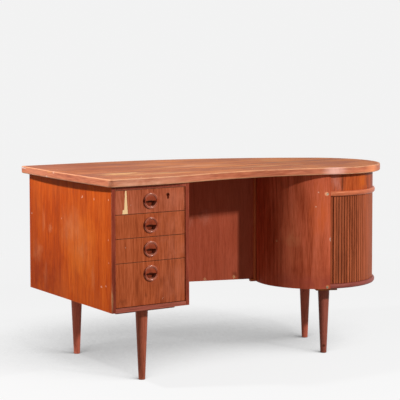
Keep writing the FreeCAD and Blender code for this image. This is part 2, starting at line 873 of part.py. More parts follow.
def shelf_plan(inset, fit):
    """Plan of a bookcase board between the modesty panel, both walls and the rear curve."""
    aside = Vector(fit, 0, 0)
    wall_front = on_wall(modesty_back) + aside
    wall_rear = wall_at_rear(inset) + aside
    rear_right = on_rear(end_panel_left - fit, inset)
    rear_left = on_rear(wall_rear.x, inset)
    corner_right = Vector(end_panel_left - fit, modesty_back, 0)
    return [
        line(wall_front, corner_right),
        line(corner_right, rear_right),
        arc(rear_right, between(rear_centre, rear_right, rear_left), rear_left),
        line(rear_left, wall_front),
    ]


keep(
    "bookcase_bottom",
    padded("bookcase_bottom", shelf_plan(0, 0), "Sizes.bookcase_bottom_thickness", bay_place),
)
keep(
    "bookcase_shelf",
    padded(
        "bookcase_shelf", shelf_plan(size.bookcase_shelf_inset, size.shelf_fit),
        "Sizes.bookcase_shelf_thickness",
        bay * at(0, 0, bookcase_shelf_level),
    ),
)


# Round cabinet, in the bay frame, with its axis at the origin.
opening_level = base_level + size.cabinet_bottom_thickness
middle_level = under_top - size.frieze_height - size.middle_plate_thickness
opening_height = middle_level - opening_level
OPENING_HEIGHT = (
    f"({CARCASS_HEIGHT} - Sizes.cabinet_bottom_thickness"
    " - Sizes.middle_plate_thickness - Sizes.frieze_height)"
)
shell_inside = size.cabinet_radius - size.shell_thickness
band_radius = size.cabinet_radius - size.band_set_back
slat_inside = band_radius - size.slat_thickness
shell_start = HALF_TURN - math.degrees(math.asin(modesty_front / size.cabinet_radius))
shell_end = FULL_TURN + size.shell_edge_angle
plate_start = HALF_TURN - math.degrees(math.asin(modesty_front / shell_inside))

# Tambour: its angles follow from the slats that fill the way between the two shells.
pitch_angle = arc_angle(size.slat_width + size.slat_gap, band_radius)
slat_angle = arc_angle(size.slat_width, band_radius)
stile_angle = arc_angle(size.lead_stile_width, band_radius)
lead_start = size.shell_edge_angle
covered = size.rear_edge_angle + arc_angle(size.tambour_overlap, band_radius) - lead_start - stile_angle
slat_count = math.ceil(covered / pitch_angle)
slats_start = lead_start + stile_angle + arc_angle(size.slat_gap, band_radius)
tambour_end = slats_start + slat_count * pitch_angle
travel_angle = size.rear_edge_angle - lead_start - stile_angle - arc_angle(size.tambour_grip, band_radius)
tongue_outside = slat_inside + size.tongue_thickness
track_inside = slat_inside * math.cos(math.radians(slat_angle / 2)) - size.track_side_gap
track_outside = tongue_outside + size.track_side_gap
track_spare = arc_angle(size.stop_clearance, slat_inside)
track = sector(
    track_inside, track_outside, lead_start - track_spare, tambour_end + travel_angle + track_spare
)


def plate_plan():
    """Plan of the bottom and middle plates: proud at the tambour, stepped in behind the shells."""
    corner_back = Vector(end_panel_right, shell_inside, 0)
    corner_front = Vector(end_panel_right, modesty_front, 0)
    back_tangent = polar(shell_inside, QUARTER_TURN)
    return [
        round_arc(size.cabinet_radius, size.shell_edge_angle, size.rear_edge_angle),
        line(polar(size.cabinet_radius, size.rear_edge_angle), polar(shell_inside, size.rear_edge_angle)),
        round_arc(shell_inside, size.rear_edge_angle, QUARTER_TURN),
        line(back_tangent, corner_back),
        line(corner_back, corner_front),
        line(corner_front, polar(shell_inside, plate_start)),
        round_arc(shell_inside, plate_start, shell_end),
        line(polar(shell_inside, shell_end), polar(size.cabinet_radius, shell_end)),
    ]


def is_plate_nose(edge):
    """The long round edges of a plate that show under and over the tambour."""
    curve = edge.Curve
    return isinstance(curve, Part.Circle) and abs(curve.Radius - size.cabinet_radius) < size.panel_fit


TRACK_DEPTH = "Sizes.tongue_length + Sizes.track_end_gap"
bottom_plate = padded(
    "cabinet_bottom_blank", plate_plan(), "Sizes.cabinet_bottom_thickness", bay * at(0, 0, base_level)
)
rounded(bottom_plate, is_plate_nose, "Sizes.plate_edge_round")
pocketed(bottom_plate, track, "Sizes.cabinet_bottom_thickness", TRACK_DEPTH)
middle_plate = padded(
    "cabinet_middle_blank", plate_plan(), "Sizes.middle_plate_thickness", bay * at(0, 0, middle_level)
)
rounded(middle_plate, is_plate_nose, "Sizes.plate_edge_round")
pocketed(middle_plate, track, "0", TRACK_DEPTH, True)

# Screws through the edge of the front shell into both plates.
screw_angle = size.shell_edge_angle - arc_angle(size.screw_edge_distance, size.cabinet_radius)
screw_levels = (
    base_level + size.screw_lift,
    middle_level + size.middle_plate_thickness / 2,
)
facing_inward = Rotation(UP, screw_angle) * Rotation(Vector(0, 1, 0), -QUARTER_TURN)


def screw_profile(fit):
    """Half profile of a countersunk screw, head at the origin and point up."""
    head = size.screw_head_radius + fit
    shank = size.screw_shank_radius + fit
    return loop(
        [
            Vector(0, 0, 0),
            Vector(head, 0, 0),
            Vector(shank, size.screw_head_depth, 0),
            Vector(shank, size.screw_length + fit, 0),
            Vector(0, size.screw_length + fit, 0),
        ]
    )


screws = []
screw_tools = []
for screw_level in screw_levels:
    head_spot = polar(size.cabinet_radius, screw_angle) + Vector(0, 0, screw_level)
    spot = bay * Placement(head_spot, facing_inward)
    screws.append(turned("shell_screw", screw_profile(0), spot))
    screw_tools.append(turned("screw_hole", screw_profile(size.screw_fit), spot))
keep("shell_screws", group("shell_screws", screws))

cabinet_leg_tools = leg_holes("cabinet_hole", cabinet_legs, leg_frame)
keep("cabinet_bottom_plate", cut("cabinet_bottom_plate", bottom_plate, cabinet_leg_tools + [screw_tools[0]]))
keep("cabinet_middle_plate", cut("cabinet_middle_plate", middle_plate, [screw_tools[1]]))

shell_blank = padded(
    "front_shell_blank", sector(shell_inside, size.cabinet_radius, shell_start, shell_end), CARCASS_HEIGHT,
    bay * at(0, 0, base_level),
)
keep("cabinet_front_shell", cut("cabinet_front_shell", shell_blank, screw_tools))

wall_outer = Vector(end_panel_right, size.cabinet_radius, 0)
wall_inner = Vector(end_panel_right, shell_inside, 0)
rear_plan = [
    round_arc(size.cabinet_radius, size.rear_edge_angle, QUARTER_TURN),
    line(polar(size.cabinet_radius, QUARTER_TURN), wall_outer),
    line(wall_outer, wall_inner),
    line(wall_inner, polar(shell_inside, QUARTER_TURN)),
    round_arc(shell_inside, size.rear_edge_angle, QUARTER_TURN),
    line(polar(shell_inside, size.rear_edge_angle), polar(size.cabinet_radius, size.rear_edge_angle)),
]
keep(
    "cabinet_rear_shell",
    padded("cabinet_rear_shell", rear_plan, CARCASS_HEIGHT, bay * at(0, 0, base_level)),
)
tuck_angle = arc_angle(size.band_tuck, band_radius)
frieze_plan = sector(
    band_radius - size.frieze_thickness, band_radius,
    size.shell_edge_angle - tuck_angle, size.rear_edge_angle + tuck_angle,
)
frieze_level = middle_level + size.middle_plate_thickness
keep(
    "cabinet_frieze",
    padded("cabinet_frieze", frieze_plan, "Sizes.frieze_height", bay * at(0, 0, frieze_level)),
)

# Bead between the modesty panel and the front shell, with a small block under the panel.
bead = board(
    "bead_strip", "Sizes.bead_width", "Sizes.bead_width", BAY_HEIGHT,
    bay * at(end_panel_right - size.bead_width, modesty_front - size.bead_width, modesty_level),
)


def bead_nose(spot):
    """The upright edge of the bead that looks out into the kneehole."""
    return abs(spot.x) < size.panel_fit and abs(spot.y) < size.panel_fit


bead_round = eased("bead_round", bead, bead_nose, size.bead_width / 2)
bead_foot = board(
    "bead_foot", "Sizes.bead_foot_width", "Sizes.bead_width + Sizes.modesty_thickness", "Sizes.modesty_lift",
    bay * at(end_panel_right - size.bead_foot_width, modesty_front - size.bead_width, base_level),
)
keep("shell_corner_bead", group("shell_corner_bead", [bead_round, bead_foot]))

# Posts that carry the middle plate and the shelf; the front one also stops the tambour.
canvas_outside = slat_inside * math.cos(math.radians(slat_angle / 2)) - size.canvas_gap
canvas_inside = canvas_outside - size.canvas_thickness
post_ring = canvas_inside - size.post_clearance - size.post_size / 2
stop_angle = lead_start - arc_angle(size.post_size / 2 + size.stop_clearance, post_ring - size.post_size / 2)
post_angles = (stop_angle, size.post_angle_rear, size.post_angle_back, size.post_angle_left)
cabinet_shelf_level = opening_level + size.cabinet_shelf_share * opening_height
cabinet_pin_level = cabinet_shelf_level - size.pin_radius
posts = []
for angle in post_angles:
    turn = Rotation(UP, angle)
    stand = bay * Placement(Vector(0, 0, opening_level), turn)
    post_blank = board(
        "post_board", "Sizes.post_size", "Sizes.post_size", OPENING_HEIGHT,
        stand * at(post_ring - size.post_size / 2, -size.post_size / 2, 0),
    )
    post_face = post_ring - size.post_size / 2
    spot = (
        bay * Placement(Vector(0, 0, cabinet_pin_level), turn)
        * Placement(Vector(post_face - size.pin_reach, 0, 0), facing_across)
    )
    pin_places.append(spot)
    hole = rod("post_pin_hole", HOLE_RADIUS, PIN_LENGTH, spot)
    posts.append(cut("post", post_blank, [hole]))
keep("cabinet_posts", group("cabinet_posts", posts))
shelf_disc = doc.addObject("Part::Cylinder", "cabinet_shelf")
shelf_disc.Radius = post_ring - size.post_size / 2 - size.shelf_edge_gap
shelf_disc.setExpression("Height", "Sizes.cabinet_shelf_thickness")
shelf_disc.Placement = bay * at(0, 0, cabinet_shelf_level)
keep("cabinet_shelf", shelf_disc)
keep(
    "shelf_pins",
    group("shelf_pins", [rod("shelf_pin", "Sizes.pin_radius", PIN_LENGTH, spot) for spot in pin_places]),
)


# Tambour pieces: slats with tongues in both tracks, the cloth behind them and the lead stile.
def slat_section(start_angle):
    """Plan of one slat, with its face bevelled on both sides."""
    end_angle = start_angle + slat_angle
    bevel = arc_angle(size.slat_crown, band_radius)
    shoulder = band_radius - size.slat_crown
    return loop(
        [
            polar(slat_inside, start_angle),
            polar(shoulder, start_angle),
            polar(band_radius, start_angle + bevel),
            polar(band_radius, end_angle - bevel),
            polar(shoulder, end_angle),
            polar(slat_inside, end_angle),
        ]
    )


def tongue_section(start_angle):
    """Plan of the tongue of one slat."""
    end_angle = start_angle + slat_angle
    return loop(
        [
            polar(slat_inside, start_angle),
            polar(tongue_outside, start_angle),
            polar(tongue_outside, end_angle),
            polar(slat_inside, end_angle),
        ]
    )


slat_place = bay * at(0, 0, opening_level + size.slat_end_gap)
SLAT_HEIGHT = f"({OPENING_HEIGHT} - 2 * Sizes.slat_end_gap)"
TONGUE_HEIGHT = f"({OPENING_HEIGHT} + 2 * Sizes.tongue_length)"
TONGUE_LEVEL = "-Sizes.slat_end_gap - Sizes.tongue_length"


def tongued(label, plan, tongue_plan):
    """A tambour piece with a tongue that runs past both its ends."""
    body = padded(label, plan, SLAT_HEIGHT, slat_place)
    raised(body, tongue_plan, TONGUE_LEVEL, TONGUE_HEIGHT)
    return body


first_slat = tongued("first_slat", slat_section(slats_start), tongue_section(slats_start))
slats = doc.addObject("Part::Feature", "tambour_slats")
axis_base = bay.Base
slat_shapes = []
for number in range(slat_count):
    copy = first_slat.Shape.copy()
    copy.rotate(axis_base, UP, number * pitch_angle)
    slat_shapes.append(copy)
slats.Shape = Part.makeCompound(slat_shapes)
keep("tambour_slats", slats)

canvas_plan = sector(canvas_inside, canvas_outside, slats_start, tambour_end - pitch_angle + slat_angle)
keep(
    "tambour_canvas",
    padded(
        "tambour_canvas", canvas_plan, f"{OPENING_HEIGHT} - 2 * Sizes.canvas_margin",
        bay * at(0, 0, opening_level + size.canvas_margin),
    ),
)
stile_end = lead_start + stile_angle
stile_plan = sector(band_radius - size.lead_stile_thickness, band_radius, lead_start, stile_end)
stile_tongue = sector(slat_inside, tongue_outside, lead_start, stile_end)
stile = tongued("tambour_lead_stile", stile_plan, stile_tongue)
groove_centre = polar(
    band_radius + size.finger_groove_radius - size.finger_groove_depth, lead_start + stile_angle / 2
)
finger_groove = [Part.Circle(groove_centre, UP, size.finger_groove_radius)]
pocketed(stile, finger_groove, SLAT_HEIGHT, SLAT_HEIGHT)
keep("tambour_lead_stile", stile)


# Legs, the battens that carry them and their bolts.
def leg_profile():
    """Half profile of a tapered leg with the bolt hole in its top."""
    bore = size.leg_bolt_radius + size.leg_bolt_fit
    bore_level = size.leg_length - size.leg_bolt_in_leg
    round_start = Vector(size.leg_foot_radius - size.leg_foot_round, 0, 0)
    taper = (size.leg_top_radius - size.leg_foot_radius) / size.leg_length
    round_end = Vector(size.leg_foot_radius + taper * size.leg_foot_round, size.leg_foot_round, 0)
    corner = Vector(size.leg_foot_radius, 0, 0)
    round_middle = (round_start + round_end + corner * 2) / 4
    points = [
        round_end,
        Vector(size.leg_top_radius, size.leg_length, 0),
        Vector(bore, size.leg_length, 0),
        Vector(bore, bore_level, 0),
        Vector(0, bore_level, 0),
        Vector(0, 0, 0),
        round_start,
    ]
    return [line(a, b) for a, b in zip(points, points[1:])] + [arc(round_start, round_middle, round_end)]


leg_names = ("leg_front_left", "leg_rear_left", "leg_front_right", "leg_rear_right")
leg_spots = [pedestal * at(spot.x, spot.y, 0) for spot in pedestal_legs]
leg_spots += [leg_frame * at(spot.x, spot.y, 0) for spot in cabinet_legs]
bolts = []
for leg_name, leg_spot in zip(leg_names, leg_spots):
    keep(leg_name, turned(leg_name, leg_profile(), leg_spot))
    bolts.append(
        rod(
            "leg_bolt", "Sizes.leg_bolt_radius",
            "Sizes.leg_bolt_in_leg + Sizes.batten_thickness + Sizes.leg_bolt_in_board",
            leg_spot * at(0, 0, size.leg_length - size.leg_bolt_in_leg),
        )
    )
keep("leg_bolts", group("leg_bolts", bolts))
pedestal_batten = board(
    "pedestal_batten_board", "Sizes.pedestal_batten_width",
    "Sizes.pedestal_depth - 2 * Sizes.pedestal_leg_inset + 2 * Sizes.pedestal_batten_reach",
    "Sizes.batten_thickness",
    pedestal * at(
        size.pedestal_leg_across - size.pedestal_batten_width / 2,
        size.pedestal_leg_inset - size.pedestal_batten_reach, size.leg_length,
    ),
)
batten_holes = leg_holes("pedestal_batten_hole", pedestal_legs, pedestal)
keep("pedestal_leg_batten", cut("pedestal_leg_batten", pedestal_batten, batten_holes))
cabinet_batten = board(
    "cabinet_batten_board", "Sizes.cabinet_batten_width",
    "2 * Sizes.cabinet_leg_spread + 2 * Sizes.cabinet_batten_reach", "Sizes.batten_thickness",
    leg_frame * at(
        -size.cabinet_batten_width / 2, -size.cabinet_leg_spread - size.cabinet_batten_reach, size.leg_length
    ),
)
keep(
    "cabinet_leg_batten",
    cut("cabinet_leg_batten", cabinet_batten, leg_holes("cabinet_batten_hole", cabinet_legs, leg_frame)),
)

# Check every object, then write one file for each named piece.
doc.recompute()
faults = []
for item in doc.Objects:
    if "Invalid" in item.State or "Error" in item.State:
        faults.append(f"{item.Label}: {item.State}")
for label, piece in nodes.items():
    if piece.Shape.isNull() or not piece.Shape.isValid() or not piece.Shape.Solids:
        faults.append(f"{label}: bad shape")
if faults:
    raise RuntimeError("; ".join(faults))
os.makedirs("parts", exist_ok=True)
for label, piece in nodes.items():
    piece.Shape.exportStep(f"parts/{label}.step")

print("nodes", len(nodes))
print("cabinet axis", [round(value, 3) for value in bay.Base])
print("slats", slat_count, "tambour travel degrees", round(travel_angle, 2))
print("levels", round(base_level, 2), round(opening_level, 2), round(middle_level, 2), round(under_top, 2))
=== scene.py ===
"""Looks of a worn tambour desk: wood finishes with their wear, the cloth behind the slats and a plain studio.

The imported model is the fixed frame. Every length is in metres, in the desk's own axes: X to the right
along the drawer fronts, Y to the back and Z up from the floor.
"""

import json
import logging
import math
from dataclasses import dataclass
from enum import Enum
from typing import Mapping, Optional, Sequence, Union

import bpy
import numpy as np
from mathutils import Matrix, Vector

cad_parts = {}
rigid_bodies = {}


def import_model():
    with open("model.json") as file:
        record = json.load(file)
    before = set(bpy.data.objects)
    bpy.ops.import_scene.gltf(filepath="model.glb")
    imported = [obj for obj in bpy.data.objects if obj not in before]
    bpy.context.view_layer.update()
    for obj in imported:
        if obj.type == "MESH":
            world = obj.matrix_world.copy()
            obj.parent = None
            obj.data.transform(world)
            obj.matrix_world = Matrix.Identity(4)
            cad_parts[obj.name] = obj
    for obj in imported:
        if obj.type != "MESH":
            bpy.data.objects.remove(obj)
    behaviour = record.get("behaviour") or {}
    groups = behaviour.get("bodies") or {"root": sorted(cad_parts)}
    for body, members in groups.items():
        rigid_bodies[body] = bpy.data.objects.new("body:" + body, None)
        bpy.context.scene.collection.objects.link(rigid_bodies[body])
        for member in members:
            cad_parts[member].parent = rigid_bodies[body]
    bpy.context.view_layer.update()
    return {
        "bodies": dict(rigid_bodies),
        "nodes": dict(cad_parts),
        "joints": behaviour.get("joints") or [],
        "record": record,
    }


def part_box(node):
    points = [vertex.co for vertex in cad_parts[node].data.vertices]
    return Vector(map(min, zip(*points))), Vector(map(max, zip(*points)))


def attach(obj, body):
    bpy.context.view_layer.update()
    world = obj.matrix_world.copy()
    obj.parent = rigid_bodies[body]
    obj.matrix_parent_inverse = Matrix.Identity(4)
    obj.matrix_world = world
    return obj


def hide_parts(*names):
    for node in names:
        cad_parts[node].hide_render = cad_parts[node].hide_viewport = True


LOG = logging.getLogger("tambour_desk")

Colour = tuple[float, float, float]
Point = tuple[float, float, float]
Piece = bpy.types.Object
Tree = bpy.types.NodeTree
Node = bpy.types.Node
Socket = bpy.types.NodeSocket
Sockets = tuple[tuple[str, str], ...]
Value = Union[float, Sequence[float], Socket]
Feeds = Mapping[Union[int, str], Value]


class Effect(Enum):
    """The shader effects that several finishes share, each one node group."""

    GRAIN = "wood_grain"
    NICKS = "small_nicks"
    BLOOM = "pale_bloom"
    EDGES = "board_edges"
    SPOT = "ragged_spot"
    STRIP = "lifted_strip"
    DRUM = "round_the_drum"
    RIM = "along_the_rim"
    CROWN = "upward_faces"


class Run(Enum):
    """The way the grain runs on a piece."""

    UP = "up"
    ACROSS = "across"
    DEEP = "deep"
    DRUM = "drum"
    DRUM_LEVEL = "drum_level"
    RIM = "rim"


@dataclass(frozen=True)
class Band:
    """One layer of noise drawn out along Z: its clouds to a unit across and along, and its weight."""

    across: float
    along: float
    weight: float = 1.0


SWAY = Band(3.0, 1.1, 0.05)
CONTOUR = Band(6.0, 0.7, 62.0)
FINE = Band(280.0, 14.0, 2.4)
STREAKS = (Band(14.0, 0.8, 1.7), Band(62.0, 2.2, 1.0))
PORES = Band(950.0, 36.0, 0.55)
CLOUDS = Band(1.0, 0.6, 0.75)
FADED = Band(14.0, 0.9, 0.25)
SCUFFS = Band(2.4, 1.1)
BRUSHING = Band(2400.0, 120.0, 0.12)

# Where a soft step starts and where it ends: of a noise, of a part of the normal, or of a slat's width.
PORE_STEP = (0.57, 0.70)
FADED_STEP = (0.44, 0.64)
SCUFF_STEP = (0.62, 0.38)
TARNISH_STEP = (0.42, 0.7)
WORN_STEP = (0.26, 0.52)
SIDEWAYS_STEP = (0.68, 0.74)
UPWARD_STEP = (0.75, 0.97)
ROUNDED_STEPS = ((0.08, 0.3), (0.99, 0.9))
SLAT_EDGE_STEP = (0.30, 0.47)

# How many clouds or cells there are to a metre.
NICK_CELLS = 26.0
NICK_FRAY = 420.0
EDGE_FRAY = 60.0
TORN_FRAY = 150.0
WORN_CLOUDS = 24.0
TARNISH_CLOUDS = 90.0

# How far borders wander: in metres for nicks and torn veneer, in its own size for a spot.
NICK_SHIFT = 0.02
TORN_SHIFT = 0.0022
SPOT_SHIFT = 2.6

# How far one seed moves the grain, and how much fine lines and pores count in its relief.
SEED_SHIFT = (3.1, 1.7, 0.9)
LINE_HEIGHT = 0.5
PORE_DEPTH = 0.8


class Graph:
    """Short calls that add and join the nodes of one shader tree."""

    def __init__(self, tree: Tree) -> None:
        """Keeps the tree that the calls write to."""
        self.tree = tree

    def node(self, kind: str, feeds: Optional[Feeds] = None, **settings: object) -> Node:
        """Adds a node, sets its plain properties and then feeds its inputs.

        Args:
            kind: the node's type name.
            feeds: what its inputs take, by their names or numbers.
            settings: properties of the node by name.

        Returns:
            The new node.
        """
        made = self.tree.nodes.new(kind)
        for name, value in settings.items():
            setattr(made, name, value)
        for name, value in (feeds or {}).items():
            self.put(made.inputs[name], value)
        return made

    def put(self, target: Socket, value: Value) -> None:
        """Joins a socket to a target, or writes a plain value into it.

        Args:
            target: the input that takes the value.
            value: a socket, a number, a point or a colour.
        """
        if isinstance(value, Socket):
            self.tree.links.new(value, target)
        elif target.type == "RGBA":
            target.default_value = (*value, 1.0)
        else:
            target.default_value = value

    def math(self, operation: str, first: Value, second: Value = 0.0, clamp: bool = False) -> Socket:
        """One of Blender's sums on numbers; with clamp the result is kept between 0 and 1."""
        made = self.node("ShaderNodeMath", {0: first, 1: second}, operation=operation, use_clamp=clamp)
        return made.outputs[0]

    def times(self, first: Value, second: Value, clamp: bool = False) -> Socket:
        """The product of two numbers."""
        return self.math("MULTIPLY", first, second, clamp)

    def plus(self, first: Value, second: Value, clamp: bool = False) -> Socket:
        """The sum of two numbers."""
        return self.math("ADD", first, second, clamp)

    def minus(self, first: Value, second: Value, clamp: bool = False) -> Socket:
        """The first number less the second."""
        return self.math("SUBTRACT", first, second, clamp)

    def swing(self, value: Value, reach: Value) -> Socket:
        """Turns a number about 0.5 into one about 0, and scales it by a reach."""
        return self.times(self.minus(value, 0.5), reach)

    def vector(self, operation: str, first: Value, second: Value = (0.0, 0.0, 0.0)) -> Socket:
        """One of Blender's sums on vectors; a length comes out as a number."""
        made = self.node("ShaderNodeVectorMath", {0: first, 1: second}, operation=operation)
        return made.outputs["Value" if operation == "LENGTH" else "Vector"]

    def parts(self, vector: Value) -> tuple[Socket, ...]:
        """The X, Y and Z of a vector."""
        return tuple(self.node("ShaderNodeSeparateXYZ", {0: vector}).outputs)

    def joined(self, x: Value, y: Value, z: Value) -> Socket:
        """The vector with this X, Y and Z."""
        return self.node("ShaderNodeCombineXYZ", {0: x, 1: y, 2: z}).outputs[0]

    def smooth(self, value: Value, low: Value, high: Value) -> Socket:
        """A soft step of a number: 0 up to low, and 1 from high on."""
        feeds = {0: value, 1: low, 2: high}
        return self.node("ShaderNodeMapRange", feeds, interpolation_type="SMOOTHSTEP").outputs[0]

    def noise(self, vector: Value, scale: float, detail: float = 2.0, rough: float = 0.5) -> Socket:
        """Cloudy noise between 0 and 1: its clouds to a unit, its finer layers and how strong they are."""
        feeds = {"Vector": vector, "Scale": scale, "Detail": detail, "Roughness": rough}
        return self.node("ShaderNodeTexNoise", feeds).outputs["Fac"]

    def layer(self, band: Band, place: Value, detail: float = 2.0, rough: float = 0.5) -> Socket:
        """Noise that is drawn out along Z as a band says, between 0 and 1."""
        drawn = self.vector("MULTIPLY", place, (band.across, band.across, band.along))
        return self.noise(drawn, 1.0, detail, rough)

    def mix(self, share: Value, first: Value, second: Value, blend: str = "MIX") -> Socket:
        """Mixes two colours: the first at a share of 0, the second at a share of 1."""
        feeds = {0: share, 6: first, 7: second}
        return self.node("ShaderNodeMix", feeds, data_type="RGBA", blend_type=blend).outputs[2]

    def effect(self, kind: Effect, **values: Value) -> Node:
        """Places one of the shared groups, with its inputs by name and underscores for spaces."""
        feeds = {name.replace("_", " "): value for name, value in values.items()}
        return self.node("ShaderNodeGroup", feeds, node_tree=EffectShelf.tree(kind))

    def mask(self, kind: Effect, **values: Value) -> Socket:
        """Places one of the shared groups that give a mask."""
        return self.effect(kind, **values).outputs["Mask"]


class Surface(Graph):
    """The shader tree of a new material, which is put on its piece at once."""

    def __init__(self, finish: str, piece: Piece) -> None:
        """Makes the material.

        Args:
            finish: the name of its finish.
            piece: the object that takes it in place of what it had.
        """
        material = bpy.data.materials.new(f"{finish}_{piece.name}")
        material.use_nodes = True
        super().__init__(material.node_tree)
        self.shader = self.tree.nodes["Principled BSDF"]
        piece.data.materials.clear()
        piece.data.materials.append(material)

    def feed(self, name: str, value: Value) -> None:
        """Joins a value to one of the shader's inputs, or writes it there."""
        self.put(self.shader.inputs[name], value)

    def raised(self, height: Socket, strength: float, distance: float) -> None:
        """Gives the surface a fine relief: how much of the height shows, and how high a step of 1 is."""
        bump = self.node("ShaderNodeBump", {"Height": height, "Strength": strength, "Distance": distance})
        self.feed("Normal", bump.outputs["Normal"])


def floats(*names: str) -> Sockets:
    """Names group sockets that hold plain numbers."""
    return tuple((name, "Float") for name in names)


def vectors(*names: str) -> Sockets:
    """Names group sockets that hold vectors."""
    return tuple((name, "Vector") for name in names)


def colours(*names: str) -> Sockets:
    """Names group sockets that hold colours."""
    return tuple((name, "Color") for name in names)


class EffectShelf:
    """Builds each shared shader group once and hands it out."""

    trees: dict[Effect, Tree] = {}

    @classmethod
    def tree(cls, kind: Effect) -> Tree:
        """Finds a group, and builds it at its first use.

        Args:
            kind: which group.

        Returns:
            The group's tree.
        """
        if kind not in cls.trees:
            cls.trees[kind] = getattr(cls, kind.value)()
        return cls.trees[kind]

    @staticmethod
    def start(kind: Effect, inputs: Sockets, outputs: Sockets) -> tuple[Graph, dict[str, Socket]]:
        """Opens a new group with its named sockets.

        Args:
            kind: which group it is.
            inputs: names and types of the inputs.
            outputs: names and types of the outputs.

        Returns:
            The group's graph and its inputs by name.
        """
        tree = bpy.data.node_groups.new(kind.value, "ShaderNodeTree")
        for way, sockets in (("INPUT", inputs), ("OUTPUT", outputs)):
            for name, form in sockets:
                tree.interface.new_socket(name=name, in_out=way, socket_type="NodeSocket" + form)
        graph = Graph(tree)
        entry = graph.node("NodeGroupInput")
        return graph, {socket.name: socket for socket in entry.outputs}

    @staticmethod
    def done(graph: Graph, **results: Socket) -> Tree:
        """Joins a group's results to its outputs by name, and gives the finished group."""
        graph.node("NodeGroupOutput", results)
        return graph.tree

    @classmethod
    def wood_grain(cls) -> Tree:
        """Wood with its grain along Z: contour lines of a stretched noise, streaks, fine lines and pores.

        Returns:
            The group, which gives a colour, a tone and a height.
        """
        graph, given = cls.start(
            Effect.GRAIN,
            vectors("Vector") + colours("Pale", "Mid", "Dark") + floats("Figure", "Streak", "Pores", "Seed"),
            colours("Colour") + floats("Tone", "Height"),
        )
        seed = given["Seed"]
        shift = graph.vector("MULTIPLY", graph.joined(seed, seed, seed), SEED_SHIFT)
        moved = graph.vector("ADD", given["Vector"], shift)
        sway = graph.swing(graph.layer(SWAY, moved), SWAY.weight)
        swayed = graph.vector("ADD", moved, graph.joined(sway, 0.0, 0.0))
        rings = graph.math("SINE", graph.times(graph.layer(CONTOUR, swayed, 1.2), CONTOUR.weight))
        fine = graph.layer(FINE, swayed, 2.5, 0.62)
        streaks = graph.swing(fine, FINE.weight)
        for band in STREAKS:
            lines = graph.layer(band, swayed, 2.0, 0.55)
            streaks = graph.plus(streaks, graph.swing(lines, band.weight))
        pores = graph.smooth(graph.layer(PORES, swayed, 1.0), *PORE_STEP)
        pitted = graph.times(pores, given["Pores"])
        figure = graph.times(rings, graph.times(given["Figure"], 0.5))
        tone = graph.plus(graph.plus(figure, graph.times(streaks, given["Streak"])), 0.5, clamp=True)
        low = graph.mix(graph.times(tone, 2.0, clamp=True), given["Dark"], given["Mid"])
        high = graph.minus(graph.times(tone, 2.0), 1.0, clamp=True)
        colour = graph.mix(high, low, given["Pale"])
        colour = graph.mix(graph.times(pitted, PORES.weight), colour, given["Dark"], "MULTIPLY")
        height = graph.minus(graph.times(fine, LINE_HEIGHT), graph.times(pitted, PORE_DEPTH))
        return cls.done(graph, Colour=colour, Tone=tone, Height=height)

    @classmethod
    def small_nicks(cls) -> Tree:
        """Sparse small nicks: the ragged cores of a few cells among many.

        Returns:
            The group, which gives a mask.
        """
        graph, given = cls.start(Effect.NICKS, vectors("Vector") + floats("Rate", "Size"), floats("Mask"))
        ragged = graph.swing(graph.noise(given["Vector"], NICK_FRAY, 3.0), NICK_SHIFT)
        moved = graph.vector("ADD", given["Vector"], graph.joined(ragged, ragged, ragged))
        cells = graph.node("ShaderNodeTexVoronoi", {"Vector": moved, "Scale": NICK_CELLS}, feature="F1")
        chance, extent, _ = graph.parts(cells.outputs["Color"])
        chosen = graph.math("LESS_THAN", chance, given["Rate"])
        reach = graph.times(given["Size"], graph.plus(graph.times(extent, 0.9), 0.25))
        spot = graph.minus(1.0, graph.smooth(cells.outputs["Distance"], graph.times(reach, 0.6), reach))
        return cls.done(graph, Mask=graph.times(chosen, spot))

    @classmethod
    def pale_bloom(cls) -> Tree:
        """Faded, dry patches: wide clouds broken up by streaks along Z.

        Returns:
            The group, which gives a mask.
        """
        graph, given = cls.start(Effect.BLOOM, vectors("Vector") + floats("Scale", "Amount"), floats("Mask"))
        scale = given["Scale"]
        scaled = graph.vector("MULTIPLY", given["Vector"], graph.joined(scale, scale, scale))
        clouds = graph.times(graph.layer(CLOUDS, scaled, 3.0, 0.6), CLOUDS.weight)
        streaks = graph.times(graph.layer(FADED, scaled), FADED.weight)
        patches = graph.smooth(graph.plus(clouds, streaks), *FADED_STEP)
        return cls.done(graph, Mask=graph.times(patches, given["Amount"], clamp=True))

    @classmethod
    def board_edges(cls) -> Tree:
        """Rubbed edges of a board: the second smallest distance to its faces, made ragged by noise.

        Returns:
            The group, which gives a mask.
        """
        graph, given = cls.start(
            Effect.EDGES, vectors("Vector", "Low", "High") + floats("Width", "Amount"), floats("Mask")
        )
        below = graph.vector("SUBTRACT", given["Vector"], given["Low"])
        above = graph.vector("SUBTRACT", given["High"], given["Vector"])
        first, second, third = graph.parts(graph.vector("MINIMUM", below, above))
        smaller = graph.math("MINIMUM", first, second)
        larger = graph.math("MAXIMUM", first, second)
        reach = graph.math("MAXIMUM", smaller, graph.math("MINIMUM", larger, third))
        ragged = graph.noise(given["Vector"], EDGE_FRAY, 4.0, 0.65)
        width = graph.times(given["Width"], graph.minus(graph.times(ragged, 3.2), 0.9))
        mask = graph.minus(1.0, graph.smooth(reach, graph.times(width, 0.5), width))
        return cls.done(graph, Mask=graph.times(mask, given["Amount"], clamp=True))

